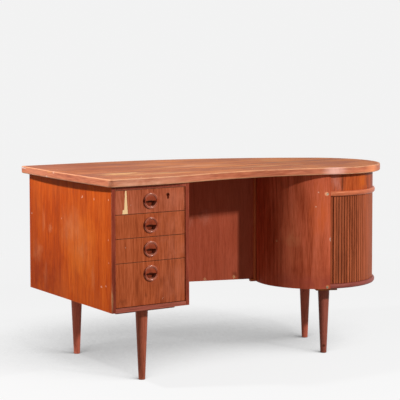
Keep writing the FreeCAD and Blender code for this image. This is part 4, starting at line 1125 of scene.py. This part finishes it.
@dataclass
class Pedestal(SubAssembly):
    """The drawer pedestal: its walls, the four drawers with their turned pulls and the lock."""

    drawers: int = 4
    strip_colour: Colour = BARE_WOOD
    strip_left: tuple[float, float] = (0.0340, 0.0385)
    strip_right: tuple[float, float] = (0.0495, 0.0445)
    strip_foot: float = 0.0008
    strip_head: float = 0.001
    step_left: float = 0.0270
    step_lean: float = 0.002
    step_height: float = 0.0165
    lip_depth: float = 0.0035
    lip_fade: float = 0.0006
    front_seed: float = 1.0

    def build(self) -> list[Piece]:
        """Dresses the walls, the drawers and the lock.

        Returns:
            The pieces that were dressed.
        """
        pieces = self.walls()
        for number in range(1, self.drawers + 1):
            pieces += self.drawer(number)
        return pieces + [self.metal(STEEL, "lock_case"), self.metal(BRASS, "lock_bolt")]

    def walls(self) -> list[Piece]:
        """Dresses the case of the pedestal, with darker front edges.

        Returns:
            The case's pieces.
        """
        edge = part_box("pedestal_left_side")[0].y + self.lip_depth
        lip = (Zone(1, edge, edge - self.lip_fade, FRAME_EDGE),)
        return [
            self.wood(CASE_SIDE, "pedestal_left_side", 4.0, self.side_marks(), zones=lip),
            self.wood(CASE_SIDE, "pedestal_right_side", 6.0, zones=lip),
            self.wood(LOWER_RAIL, "pedestal_bottom", 2.0),
            self.wood(FRAME_EDGE, "pedestal_front_rail", 3.0),
            self.wood(RAW, "pedestal_rear_rail", 3.5),
            self.wood(PANEL, "pedestal_back", 5.0),
            self.wood(BEECH, "drawer_runners", 8.0),
        ]

    def side_marks(self) -> list[Mark]:
        """Lists the nicks, the haze, a golden patch and darker patches toward the back and bottom of the left
        side, by Y, Z and reach.

        Returns:
            The marks.
        """
        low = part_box("pedestal_left_side")[0]
        face = low.x
        nicks = (
            (-0.106, 0.656, 0.004, 0.005), (-0.101, 0.652, 0.003, 0.003), (-0.194, 0.654, 0.003, 0.006),
            (-0.300, 0.660, 0.003, 0.004), (0.313, 0.555, 0.003, 0.004), (-0.245, 0.349, 0.006, 0.004),
            (-0.278, 0.356, 0.004, 0.004), (-0.297, 0.520, 0.002, 0.004), (-0.300, 0.440, 0.002, 0.004),
            (0.060, 0.560, 0.002, 0.004),
        )
        patches = (
            (-0.020, 0.530, 0.120, 0.110, 0.24), (0.155, 0.514, 0.025, 0.025, 0.36),
            (0.209, 0.537, 0.020, 0.070, 0.26), (0.265, 0.415, 0.060, 0.050, 0.26),
            (-0.106, 0.470, 0.090, 0.090, 0.18), (0.198, 0.326, 0.024, 0.080, 0.18),
            (-0.182, 0.379, 0.020, 0.070, 0.20),
        )
        # A golden patch and darker patches toward the back and the bottom of the side.
        fades = (
            (-0.080, 0.450, 0.200, 0.260, GOLD, 0.40), (0.220, 0.320, 0.260, 0.150, WINE, 0.65),
            (0.300, 0.520, 0.130, 0.300, WINE, 0.45),
        )
        marks = [
            soft((face, y, z), (0.01, deep, tall), tint, share) for y, z, deep, tall, tint, share in fades
        ]
        marks.append(soft((face, low.y, 0.310), (0.006, 0.010, 0.070), TAN, 0.75))
        marks += [soft((face, y, z), (0.01, deep, tall), HAZE, share) for y, z, deep, tall, share in patches]
        return marks + [Mark((face, y, z), (0.004, deep, tall), PALE_NICK, 0.7) for y, z, deep, tall in nicks]

    def front_marks(self, number: int) -> list[Mark]:
        """Lists the painted light on the right half of a drawer front, its stains and specks, and the painted
        shade of the keyhole.

        Args:
            number: the drawer's number, counted from the top.

        Returns:
            The marks.
        """
        low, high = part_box(f"drawer_{number}_front")
        face = low.y
        middle, tall = (low.z + high.z) / 2, high.z - low.z
        # Painted light: the right half of each front is paler.
        marks = [soft((high.x - 0.045, face, middle), (0.10, 0.02, 0.9 * tall), RIGHT_HALF_LIGHT, 0.45)]
        if number == 1:
            marks += [
                # Painted shade: a dark head and slot that widen the keyhole.
                Mark((-0.4037, face, 0.6680), (0.0076, 0.003, 0.0076), STAIN_AND_SHADE, 1.0, 0.1, 0.2),
                Mark((-0.4037, face, 0.6595), (0.0042, 0.003, 0.0080), STAIN_AND_SHADE, 1.0, 0.1, 0.2),
                Mark((-0.555, face, 0.6390), (0.002, 0.003, 0.003), PALE_NICK, 0.3),
            ]
        if number == 3:
            marks.append(Mark((-0.577, face, 0.492), (0.002, 0.003, 0.003), PALE_NICK, 0.35))
        if number == 4:
            marks += [
                soft((-0.495, face, 0.318), (0.009, 0.01, 0.012), STAIN_AND_SHADE, 0.45),
                soft((-0.589, face, 0.300), (0.030, 0.01, 0.018), STAIN_AND_SHADE, 0.40),
                soft((-0.433, face, 0.357), (0.012, 0.01, 0.030), STAIN_AND_SHADE, 0.30),
            ]
        return marks

    def missing_veneer(self) -> tuple[Strip, ...]:
        """Places the strip that the top front has lost and the step at its foot, from the front's left edge.

        Returns:
            The strip and the step.
        """
        low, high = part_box("drawer_1_front")
        left = (low.x + self.strip_left[0], low.x + self.strip_left[1])
        right = (low.x + self.strip_right[0], low.x + self.strip_right[1])
        foot = low.z + self.strip_foot
        step = low.x + self.step_left
        return (
            Strip(foot, high.z - self.strip_head, left, right, self.strip_colour),
            Strip(
                foot, low.z + self.step_height, (step, step + self.step_lean), (right[0], right[0]),
                self.strip_colour,
            ),
        )

    def drawer(self, number: int) -> list[Piece]:
        """Dresses one drawer.

        Args:
            number: counted from the top, from 1.

        Returns:
            The drawer's pieces.
        """
        name = f"drawer_{number}"
        finish, strips = (FRONT_DRY, self.missing_veneer()) if number == 1 else (FRONT, ())
        front = self.wood(finish, name + "_front", self.front_seed, self.front_marks(number), strips)
        box = [
            self.wood(BEECH, f"{name}_{side}", 10.0 * number + place)
            for place, side in enumerate(("left_side", "right_side", "bottom", "back"))
        ]
        return [front, self.pull(name, 20.0 + number)] + box

    def pull(self, name: str, seed: float) -> Piece:
        """Dresses one turned pull: painted shade on its left flank, grime and painted shade at its base and
        deep in its mouth, and a painted shadow under the lid of its mouth.

        Args:
            name: the drawer's name.
            seed: moves the grain.

        Returns:
            The pull.
        """
        low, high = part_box(name + "_pull")
        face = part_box(name + "_front")[0].y
        middle = (low + high) / 2
        zones = (
            # Painted shade on the base, which also holds grime, and on the left flank.
            Zone(1, face - 0.0030, face - 0.0005, GRIME_AND_SHADE),
            Zone(0, low.x + 0.0060, low.x + 0.0015, GRIME_AND_SHADE),
            # Darker deep in the mouth: grime and painted shade.
            Zone(1, face + 0.004, face + 0.016, HOLLOW),
        )
        # Painted shadow under the lid, inside the mouth.
        under_lid = (middle.x - 0.003, face + 0.010, middle.z - 0.001)
        lid_shadow = Mark(under_lid, (0.025, 0.020, 0.0065), LID_SHADOW, 0.95, 0.15, 0.5)
        return self.wood(PULL, name + "_pull", seed, (lid_shadow,), zones=zones)


@dataclass
class Top(SubAssembly):
    """The curved top: a worn veneered panel and the solid band round it."""

    deep_start: float = -0.05
    deep_end: float = -0.55

    def build(self) -> list[Piece]:
        """Dresses the panel, which is deeper in tone to the left, and its band.

        Returns:
            Both pieces.
        """
        deep = (Zone(0, self.deep_start, self.deep_end, TOP_DEEP),)
        return [
            self.wood(TOP, "top_panel", 7.0, self.panel_marks(), zones=deep),
            self.wood(RIM, "top_edge_band", 9.0, self.rim_marks()),
        ]

    def panel_marks(self) -> list[Mark]:
        """Lists the honey streaks and the dark patches of the worn top, each by its X, its Y and its reach.

        Returns:
            The marks.
        """
        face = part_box("top_panel")[1].z
        patches = (
            (-0.500, -0.140, 0.110, 0.060, HONEY, 0.75), (-0.540, -0.215, 0.060, 0.018, STAIN_AND_SHADE, 0.35),
            (-0.400, -0.200, 0.200, 0.050, HONEY, 0.35), (-0.430, 0.270, 0.240, 0.120, STAIN_AND_SHADE, 0.48),
            (-0.150, 0.320, 0.120, 0.060, STAIN_AND_SHADE, 0.30), (0.400, -0.100, 0.200, 0.140, STAIN_AND_SHADE, 0.16),
            (-0.060, 0.070, 0.040, 0.030, HAZE, 0.50), (0.310, 0.075, 0.050, 0.030, HONEY, 0.40),
            (0.286, -0.156, 0.040, 0.020, HONEY, 0.35), (-0.200, 0.150, 0.160, 0.080, HAZE, 0.25),
            (-0.420, 0.060, 0.260, 0.080, RUST, 0.65), (-0.480, 0.230, 0.260, 0.160, RUST, 0.85),
            (-0.100, 0.010, 0.250, 0.060, (0.78, 0.38, 0.20), 0.45),
            (0.120, 0.150, 0.200, 0.050, RUST, 0.40),
            (0.420, 0.010, 0.160, 0.040, RUST, 0.40), (0.520, -0.150, 0.080, 0.080, RUST, 0.45),
            (0.100, -0.150, 0.240, 0.030, HONEY, 0.35), (-0.300, -0.020, 0.150, 0.050, OLIVE, 0.60),
            (0.020, -0.040, 0.140, 0.050, OLIVE, 0.50), (0.300, -0.020, 0.140, 0.060, OLIVE, 0.50),
            (0.180, 0.060, 0.120, 0.030, RUST, 0.45), (-0.220, 0.080, 0.140, 0.030, OLIVE, 0.50),
        )
        return [
            soft((x, y, face), (wide, deep, 0.01), tint, share) for x, y, wide, deep, tint, share in patches
        ]

    def rim_marks(self) -> list[Mark]:
        """Lists the chips, the split back corner, a painted highlight on the front left corner, and the paler
        and darker stretches of the band.

        Returns:
            The marks.
        """
        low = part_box("top_edge_band")[0]
        return [
            Mark((-0.6540, 0.132, 0.7105), (0.012, 0.010, 0.0045), PALE_NICK, 0.9),
            Mark((-0.6540, 0.108, 0.7285), (0.014, 0.022, 0.0040), (0.86, 0.36, 0.10), 0.8),
            Mark((-0.6540, 0.074, 0.7295), (0.012, 0.008, 0.0040), PALE_NICK, 0.9),
            Mark((-0.6500, 0.350, 0.7280), (0.030, 0.034, 0.0022), (0.88, 0.84, 0.80), 0.9, 0.5),
            # Painted highlight on the rounded front left corner.
            soft((-0.6400, -0.330, 0.7218), (0.014, 0.014, 0.020), (0.80, 0.42, 0.28), 0.7),
            soft((-0.5200, low.y, 0.7160), (0.200, 0.080, 0.060), (0.92, 0.48, 0.31), 0.90),
            soft((0.0500, -0.2600, 0.7160), (0.300, 0.080, 0.060), RUST, 0.60),
            soft((0.3120, -0.3590, 0.7160), (0.060, 0.060, 0.060), (0.92, 0.50, 0.40), 0.85, 0.15),
            soft((0.6000, -0.2500, 0.7160), (0.140, 0.160, 0.060), (0.46, 0.11, 0.045), 0.35),
            soft((0.4970, -0.3520, 0.7160), (0.060, 0.060, 0.060), (0.92, 0.32, 0.13), 0.75, 0.15),
            soft((low.x, 0.0300, 0.7160), (0.040, 0.340, 0.060), RUST, 0.22),
        ]


@dataclass
class Bay(SubAssembly):
    """The modesty panel of the kneehole and the bookcase behind it."""

    def build(self) -> list[Piece]:
        """Dresses the panel, the bookcase and the bead at the shell.

        Returns:
            The pieces that were dressed.
        """
        return [
            self.wood(PANEL, "modesty_panel", 11.0, self.panel_marks()),
            self.wood(INSIDE, "bookcase_end_panel", 12.0),
            self.wood(INSIDE, "bookcase_bottom", 13.0),
            self.wood(INSIDE, "bookcase_shelf", 14.0),
            self.wood(BEAD, "shell_corner_bead", 15.0),
            self.wood(BEECH, "shelf_pins", 16.0),
        ]

    def panel_marks(self) -> list[Mark]:
        """Lists the scuffs and the chipped lower edge of the modesty panel.

        Returns:
            The marks.
        """
        return [
            soft((-0.021, 0.0356, 0.526), (0.040, 0.03, 0.040), (0.52, 0.17, 0.11), 0.55),
            soft((-0.037, 0.0404, 0.538), (0.012, 0.02, 0.020), STAIN_AND_SHADE, 0.35),
            soft((-0.079, 0.0536, 0.510), (0.024, 0.03, 0.036), (0.52, 0.17, 0.11), 0.50),
            Mark((-0.021, 0.0356, 0.281), (0.006, 0.02, 0.007), TAN, 0.9),
            soft((0.097, -0.0008, 0.296), (0.022, 0.03, 0.016), STAIN_AND_SHADE, 0.55),
            Mark((0.093, 0.0004, 0.285), (0.006, 0.02, 0.008), TAN, 0.9),
        ]


@dataclass
class RoundCabinet(SubAssembly):
    """The round cabinet: plates, shells, frieze, the tambour and the cloth that holds its slats."""

    cloth_columns: int = 180
    cloth_rows: int = 24
    cloth_thickness: float = 0.0006
    cloth_lead: float = 0.5

    def build(self) -> list[Piece]:
        """Dresses the cabinet and makes its cloth.

        Returns:
            The pieces that were dressed or made.
        """
        shade = soft(self.drum.at(-106.0, 0.450), (0.060, 0.060, 0.300), STAIN_AND_SHADE, 0.55)
        light = soft(self.drum.at(-66.0, 0.470), (0.060, 0.090, 0.340), (0.48, 0.108, 0.043), 0.50)
        return [
            self.wood(SHELL, "cabinet_front_shell", 21.0, self.shell_marks()),
            self.wood(SHELL, "cabinet_rear_shell", 22.0),
            self.wood(FRIEZE, "cabinet_frieze", 23.0, self.frieze_marks()),
            self.wood(PLATE, "cabinet_middle_plate", 24.0),
            self.wood(PLATE_LOW, "cabinet_bottom_plate", 25.0),
            self.wood(SLATS, "tambour_slats", 26.0, (shade, light)),
            self.wood(SLATS, "tambour_lead_stile", 27.0),
            self.wood(BEECH, "cabinet_posts", 28.0),
            self.wood(INSIDE, "cabinet_shelf", 29.0),
            self.metal(SCREW, "shell_screws"),
            self.cloth(),
        ]

    def shell_marks(self) -> list[Mark]:
        """Lists the dark figure, the haze, the pale nicks and the screws' rings of the round front, with
        painted shade on its far left, darker stretches near its bottom and a painted highlight by the upper
        screw.

        Returns:
            The marks.
        """
        at = self.drum.at
        return [
            # Painted shade on the far left of the round front.
            soft(at(-176.0, 0.450), (0.080, 0.080, 0.420), WINE, 0.75),
            # Darker towards the bottom.
            soft(at(-130.0, 0.270), (0.200, 0.200, 0.110), (0.39, 0.070, 0.044), 0.75),
            soft(at(-168.8, 0.569), (0.012, 0.012, 0.060), STAIN_AND_SHADE, 0.40),
            soft(at(-167.9, 0.470), (0.010, 0.010, 0.070), STAIN_AND_SHADE, 0.35),
            soft(at(-159.7, 0.398), (0.010, 0.010, 0.080), STAIN_AND_SHADE, 0.30),
            soft(at(-152.0, 0.450), (0.070, 0.070, 0.160), (0.76, 0.19, 0.085), 0.60),
            soft(at(-112.0, 0.310), (0.070, 0.070, 0.090), (0.28, 0.042, 0.018), 0.55),
            # Painted highlight: a saturated orange patch by the upper screw.
            soft(at(-122.0, 0.560), (0.055, 0.055, 0.160), (0.72, 0.130, 0.028), 0.55),
            soft(at(-148.5, 0.452), (0.050, 0.050, 0.040), (0.66, 0.23, 0.10), 0.45),
            Mark(at(-164.6, 0.444), (0.006, 0.006, 0.005), TAN, 0.6),
            Mark(at(-125.9, 0.583), (0.003, 0.003, 0.003), PALE_NICK, 0.8),
            Mark(at(-123.6, 0.638), (0.003, 0.003, 0.003), PALE_NICK, 0.7),
            Mark(at(-115.9, 0.632), (0.0095, 0.0095, 0.0095), (0.94, 0.42, 0.22), 1.0, 0.3, 0.4),
            Mark(at(-114.9, 0.275), (0.0085, 0.0085, 0.0085), (0.68, 0.22, 0.08), 0.8, 0.3, 0.4),
            Mark(at(-112.3, 0.458), (0.004, 0.004, 0.010), (0.82, 0.62, 0.52), 0.8),
        ]

    def frieze_marks(self) -> list[Mark]:
        """Lists the dark streak and the golden end of the band above the tambour.

        Returns:
            The marks.
        """
        low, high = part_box("cabinet_frieze")
        middle = (low.z + high.z) / 2
        at = self.drum.at
        return [
            soft(at(-107.0, middle), (0.050, 0.050, 0.090), (0.53, 0.175, 0.120), 0.80),
            Mark(at(-99.4, middle), (0.007, 0.02, 0.060), STAIN_AND_SHADE, 1.0, 0.3, 0.6),
            soft(at(-72.0, middle), (0.050, 0.05, 0.060), (0.56, 0.105, 0.008), 0.70),
        ]

    def cloth(self) -> Piece:
        """Makes the canvas glued behind the slats.

        Its grid is angle by height on a cylinder about the drum's axis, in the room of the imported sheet.

        Returns:
            The cloth.
        """
        spots = spots_of(self.frame["nodes"]["tambour_canvas"])
        x, y, _ = self.drum.axis
        start = self.drum.first - self.cloth_lead
        angles = np.mod(DrumPlace.angles(spots, x, y) - start, math.tau) + start
        reach = np.hypot(spots[:, 0] - x, spots[:, 1] - y)
        turn, rise = np.meshgrid(
            np.linspace(angles.min(), angles.max(), self.cloth_columns),
            np.linspace(spots[:, 2].min(), spots[:, 2].max(), self.cloth_rows),
        )
        radius = float(reach.max()) - self.cloth_thickness / 2
        grid = np.stack([x + radius * np.cos(turn), y + radius * np.sin(turn), rise], axis=-1).reshape(-1, 3)
        columns = self.cloth_columns
        corner = (np.arange(self.cloth_rows - 1)[:, None] * columns + np.arange(columns - 1)).ravel()
        faces = np.stack([corner, corner + 1, corner + columns + 1, corner + columns], axis=1)
        mesh = bpy.data.meshes.new("tambour_cloth")
        mesh.from_pydata(grid.tolist(), [], faces.tolist())
        unrolled = np.stack([(turn * radius).ravel(), rise.ravel()], axis=1)
        layer = mesh.uv_layers.new(name="weave")
        layer.data.foreach_set("uv", unrolled[faces.ravel()].astype(np.float32).ravel())
        cloth = linked("tambour_cloth", mesh)
        wall = cloth.modifiers.new("thickness", "SOLIDIFY")
        wall.thickness = self.cloth_thickness
        wall.offset = 0.0
        CLOTH.dress(cloth)
        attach(cloth, "tambour")
        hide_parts("tambour_canvas")
        return cloth


@dataclass
class Stand(SubAssembly):
    """The four turned legs, the battens that carry them and their bolts."""

    first_seed: float = 31.0

    def build(self) -> list[Piece]:
        """Dresses the legs, battens and bolts.

        Returns:
            The pieces that were dressed.
        """
        # The rear legs take the paler copy of the leg wood: painted light.
        finishes = {
            "leg_front_left": LEG,
            "leg_rear_left": LEG_LIT,
            "leg_front_right": LEG_DARK,
            "leg_rear_right": LEG_LIT,
        }
        legs = [
            self.wood(finish, name, self.first_seed + place, self.marks(name))
            for place, (name, finish) in enumerate(finishes.items())
        ]
        return legs + [
            self.wood(LOWER_RAIL, "pedestal_leg_batten", 36.0),
            self.wood(RAW, "cabinet_leg_batten", 37.0),
            self.metal(STEEL, "leg_bolts"),
        ]

    def marks(self, name: str) -> list[Mark]:
        """Lists the knocks near the foot of a leg.

        Args:
            name: the leg's name.

        Returns:
            The marks.
        """
        low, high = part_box(name)
        middle = (low + high) / 2
        if name == "leg_front_right":
            knock = (middle.x - 0.006, middle.y - 0.010, 0.030)
            return [Mark(knock, (0.007, 0.010, 0.007), STAIN_AND_SHADE, 0.95, 0.3, 0.4)]
        return [soft((middle.x - 0.008, low.y, 0.020), (0.016, 0.02, 0.030), STAIN_AND_SHADE, 0.4)]


@dataclass(frozen=True)
class Lamp:
    """One round studio lamp: where it stands, what it looks at, its power in watts and its width."""

    name: str
    place: Point
    aim: Point
    power: float
    width: float

    def build(self) -> None:
        """Makes the lamp, which the camera doesn't see."""
        data = bpy.data.lights.new(self.name, "AREA")
        data.shape = "DISK"
        data.size = self.width
        data.energy = self.power
        lamp = linked(self.name, data)
        lamp.visible_camera = False
        lamp.location = self.place
        lamp.rotation_mode = "QUATERNION"
        lamp.rotation_quaternion = (Vector(self.place) - Vector(self.aim)).to_track_quat("Z", "Y")


@dataclass
class Studio:
    """A pale floor, a pale surround, two lamps and the camera at the photograph's view.

    The floor glows at the surround's level far away, and is darker where the desk covers it from shade_way.
    """

    surround: float = 0.89
    fill: float = 0.25
    floor_pale: float = 0.90
    floor_bounce: float = 0.30
    floor_glow: float = 0.925
    floor_share: float = 0.90
    floor_reach: float = 30.0
    fade_start: float = 1.2
    fade_end: float = 2.8
    shade_reach: float = 1.0
    shade_open: float = 0.90
    shade_full: float = 0.42
    shade_depth: float = 0.80
    shade_way: Point = (0.0, -0.906, 0.423)
    shade_samples: int = 16
    key: Lamp = Lamp("key", (1.15, -3.05, 2.10), (0.0, -0.1, 0.5), 94.0, 0.20)
    side: Lamp = Lamp("side", (-1.70, 0.20, 2.00), (-0.63, 0.0, 0.6), 42.0, 0.14)
    camera_place: Point = (-2.8727, -4.3950, 1.1586)
    camera_way: Point = (0.53725, 0.84105, -0.06227)
    camera_roll: float = -0.093
    camera_shift: float = -0.15
    camera_far: float = 200.0
    sensor: float = 36.0
    lens: float = 121.64

    def build(self) -> None:
        """Makes the surround, the floor, the lamps and the camera."""
        self.world()
        self.floor()
        self.key.build()
        self.side.build()
        self.camera()
        bpy.context.scene.view_settings.view_transform = "Standard"

    def seen(self, graph: Graph) -> Socket:
        """Finds the rays that show the surround: from the camera, off a gloss or through glass.

        Args:
            graph: the graph that asks.

        Returns:
            A mask that is 1 for those rays.
        """
        path = graph.node("ShaderNodeLightPath")
        seen = graph.math("MAXIMUM", path.outputs["Is Camera Ray"], path.outputs["Is Glossy Ray"])
        return graph.math("MAXIMUM", seen, path.outputs["Is Transmission Ray"])

    def world(self) -> None:
        """Makes the even surround, pale to the eye and dimmer as a light."""
        world = bpy.data.worlds.new("studio")
        bpy.context.scene.world = world
        world.use_nodes = True
        graph = Graph(world.node_tree)
        backdrop = world.node_tree.nodes["Background"]
        pale = graph.times(self.seen(graph), self.surround - self.fill)
        graph.put(backdrop.inputs["Strength"], graph.plus(pale, self.fill))
        graph.put(backdrop.inputs["Color"], (1.0, 1.0, 1.0))

    def floor(self) -> None:
        """Makes the floor, which fades into the surround away from the desk and keeps the shadow near it."""
        half = self.floor_reach
        mesh = bpy.data.meshes.new("floor")
        corners = [(-half, -half, 0), (half, -half, 0), (half, half, 0), (-half, half, 0)]
        mesh.from_pydata(corners, [], [(0, 1, 2, 3)])
        floor = linked("floor", mesh)
        material = bpy.data.materials.new("pale_floor")
        material.use_nodes = True
        tree = material.node_tree
        tree.nodes.remove(tree.nodes["Principled BSDF"])
        graph = Graph(tree)
        seen = self.seen(graph)
        place = graph.node("ShaderNodeTexCoord").outputs["Object"]
        away = graph.smooth(graph.vector("LENGTH", place), self.fade_start, self.fade_end)
        shade = graph.plus(self.floor_bounce, graph.times(seen, self.floor_pale - self.floor_bounce))
        matt = graph.node("ShaderNodeBsdfDiffuse", {"Color": graph.joined(shade, shade, shade)})
        level = graph.minus(self.floor_glow, graph.times(away, self.floor_glow - self.surround))
        glow = graph.node("ShaderNodeEmission", {"Strength": graph.times(self.open_sky(graph), level)})
        lit = graph.times(graph.minus(1.0, away), 1.0 - self.floor_share)
        share = graph.times(seen, graph.minus(1.0, lit))
        blend = graph.node("ShaderNodeMixShader", {0: share, 1: matt.outputs[0], 2: glow.outputs[0]})
        graph.put(tree.nodes["Material Output"].inputs["Surface"], blend.outputs[0])
        mesh.materials.append(material)

    def open_sky(self, graph: Graph) -> Socket:
        """Finds how much of the soft light reaches the floor past the desk.

        Args:
            graph: the floor's graph.

        Returns:
            A share that is 1 in the open and least under the desk.
        """
        feeds = {"Distance": self.shade_reach, "Normal": graph.joined(*self.shade_way)}
        covered = graph.node("ShaderNodeAmbientOcclusion", feeds, samples=self.shade_samples)
        hidden = graph.smooth(covered.outputs["AO"], self.shade_open, self.shade_full)
        return graph.minus(1.0, graph.times(hidden, self.shade_depth))

    def camera(self) -> None:
        """Makes the camera at the photograph's place."""
        data = bpy.data.cameras.new("camera")
        data.sensor_width = self.sensor
        data.lens = self.lens
        data.shift_y = self.camera_shift
        data.clip_end = self.camera_far
        camera = linked("camera", data)
        turn = Vector(self.camera_way).to_track_quat("-Z", "Y").to_matrix().to_4x4()
        roll = Matrix.Rotation(math.radians(self.camera_roll), 4, "Z")
        camera.matrix_world = Matrix.Translation(self.camera_place) @ turn @ roll
        bpy.context.scene.camera = camera


def main() -> None:
    """Loads the frame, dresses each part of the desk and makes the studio."""
    logging.basicConfig(level=logging.INFO, format="%(message)s")
    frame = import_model()
    drum = DrumPlace.read(frame)
    for kind in (Pedestal, Top, Bay, RoundCabinet, Stand):
        for piece in kind(frame, drum).build():
            LOG.info("%s: %s", kind.__name__, piece.name)
    Studio().build()


if __name__ == "__main__":
    main()
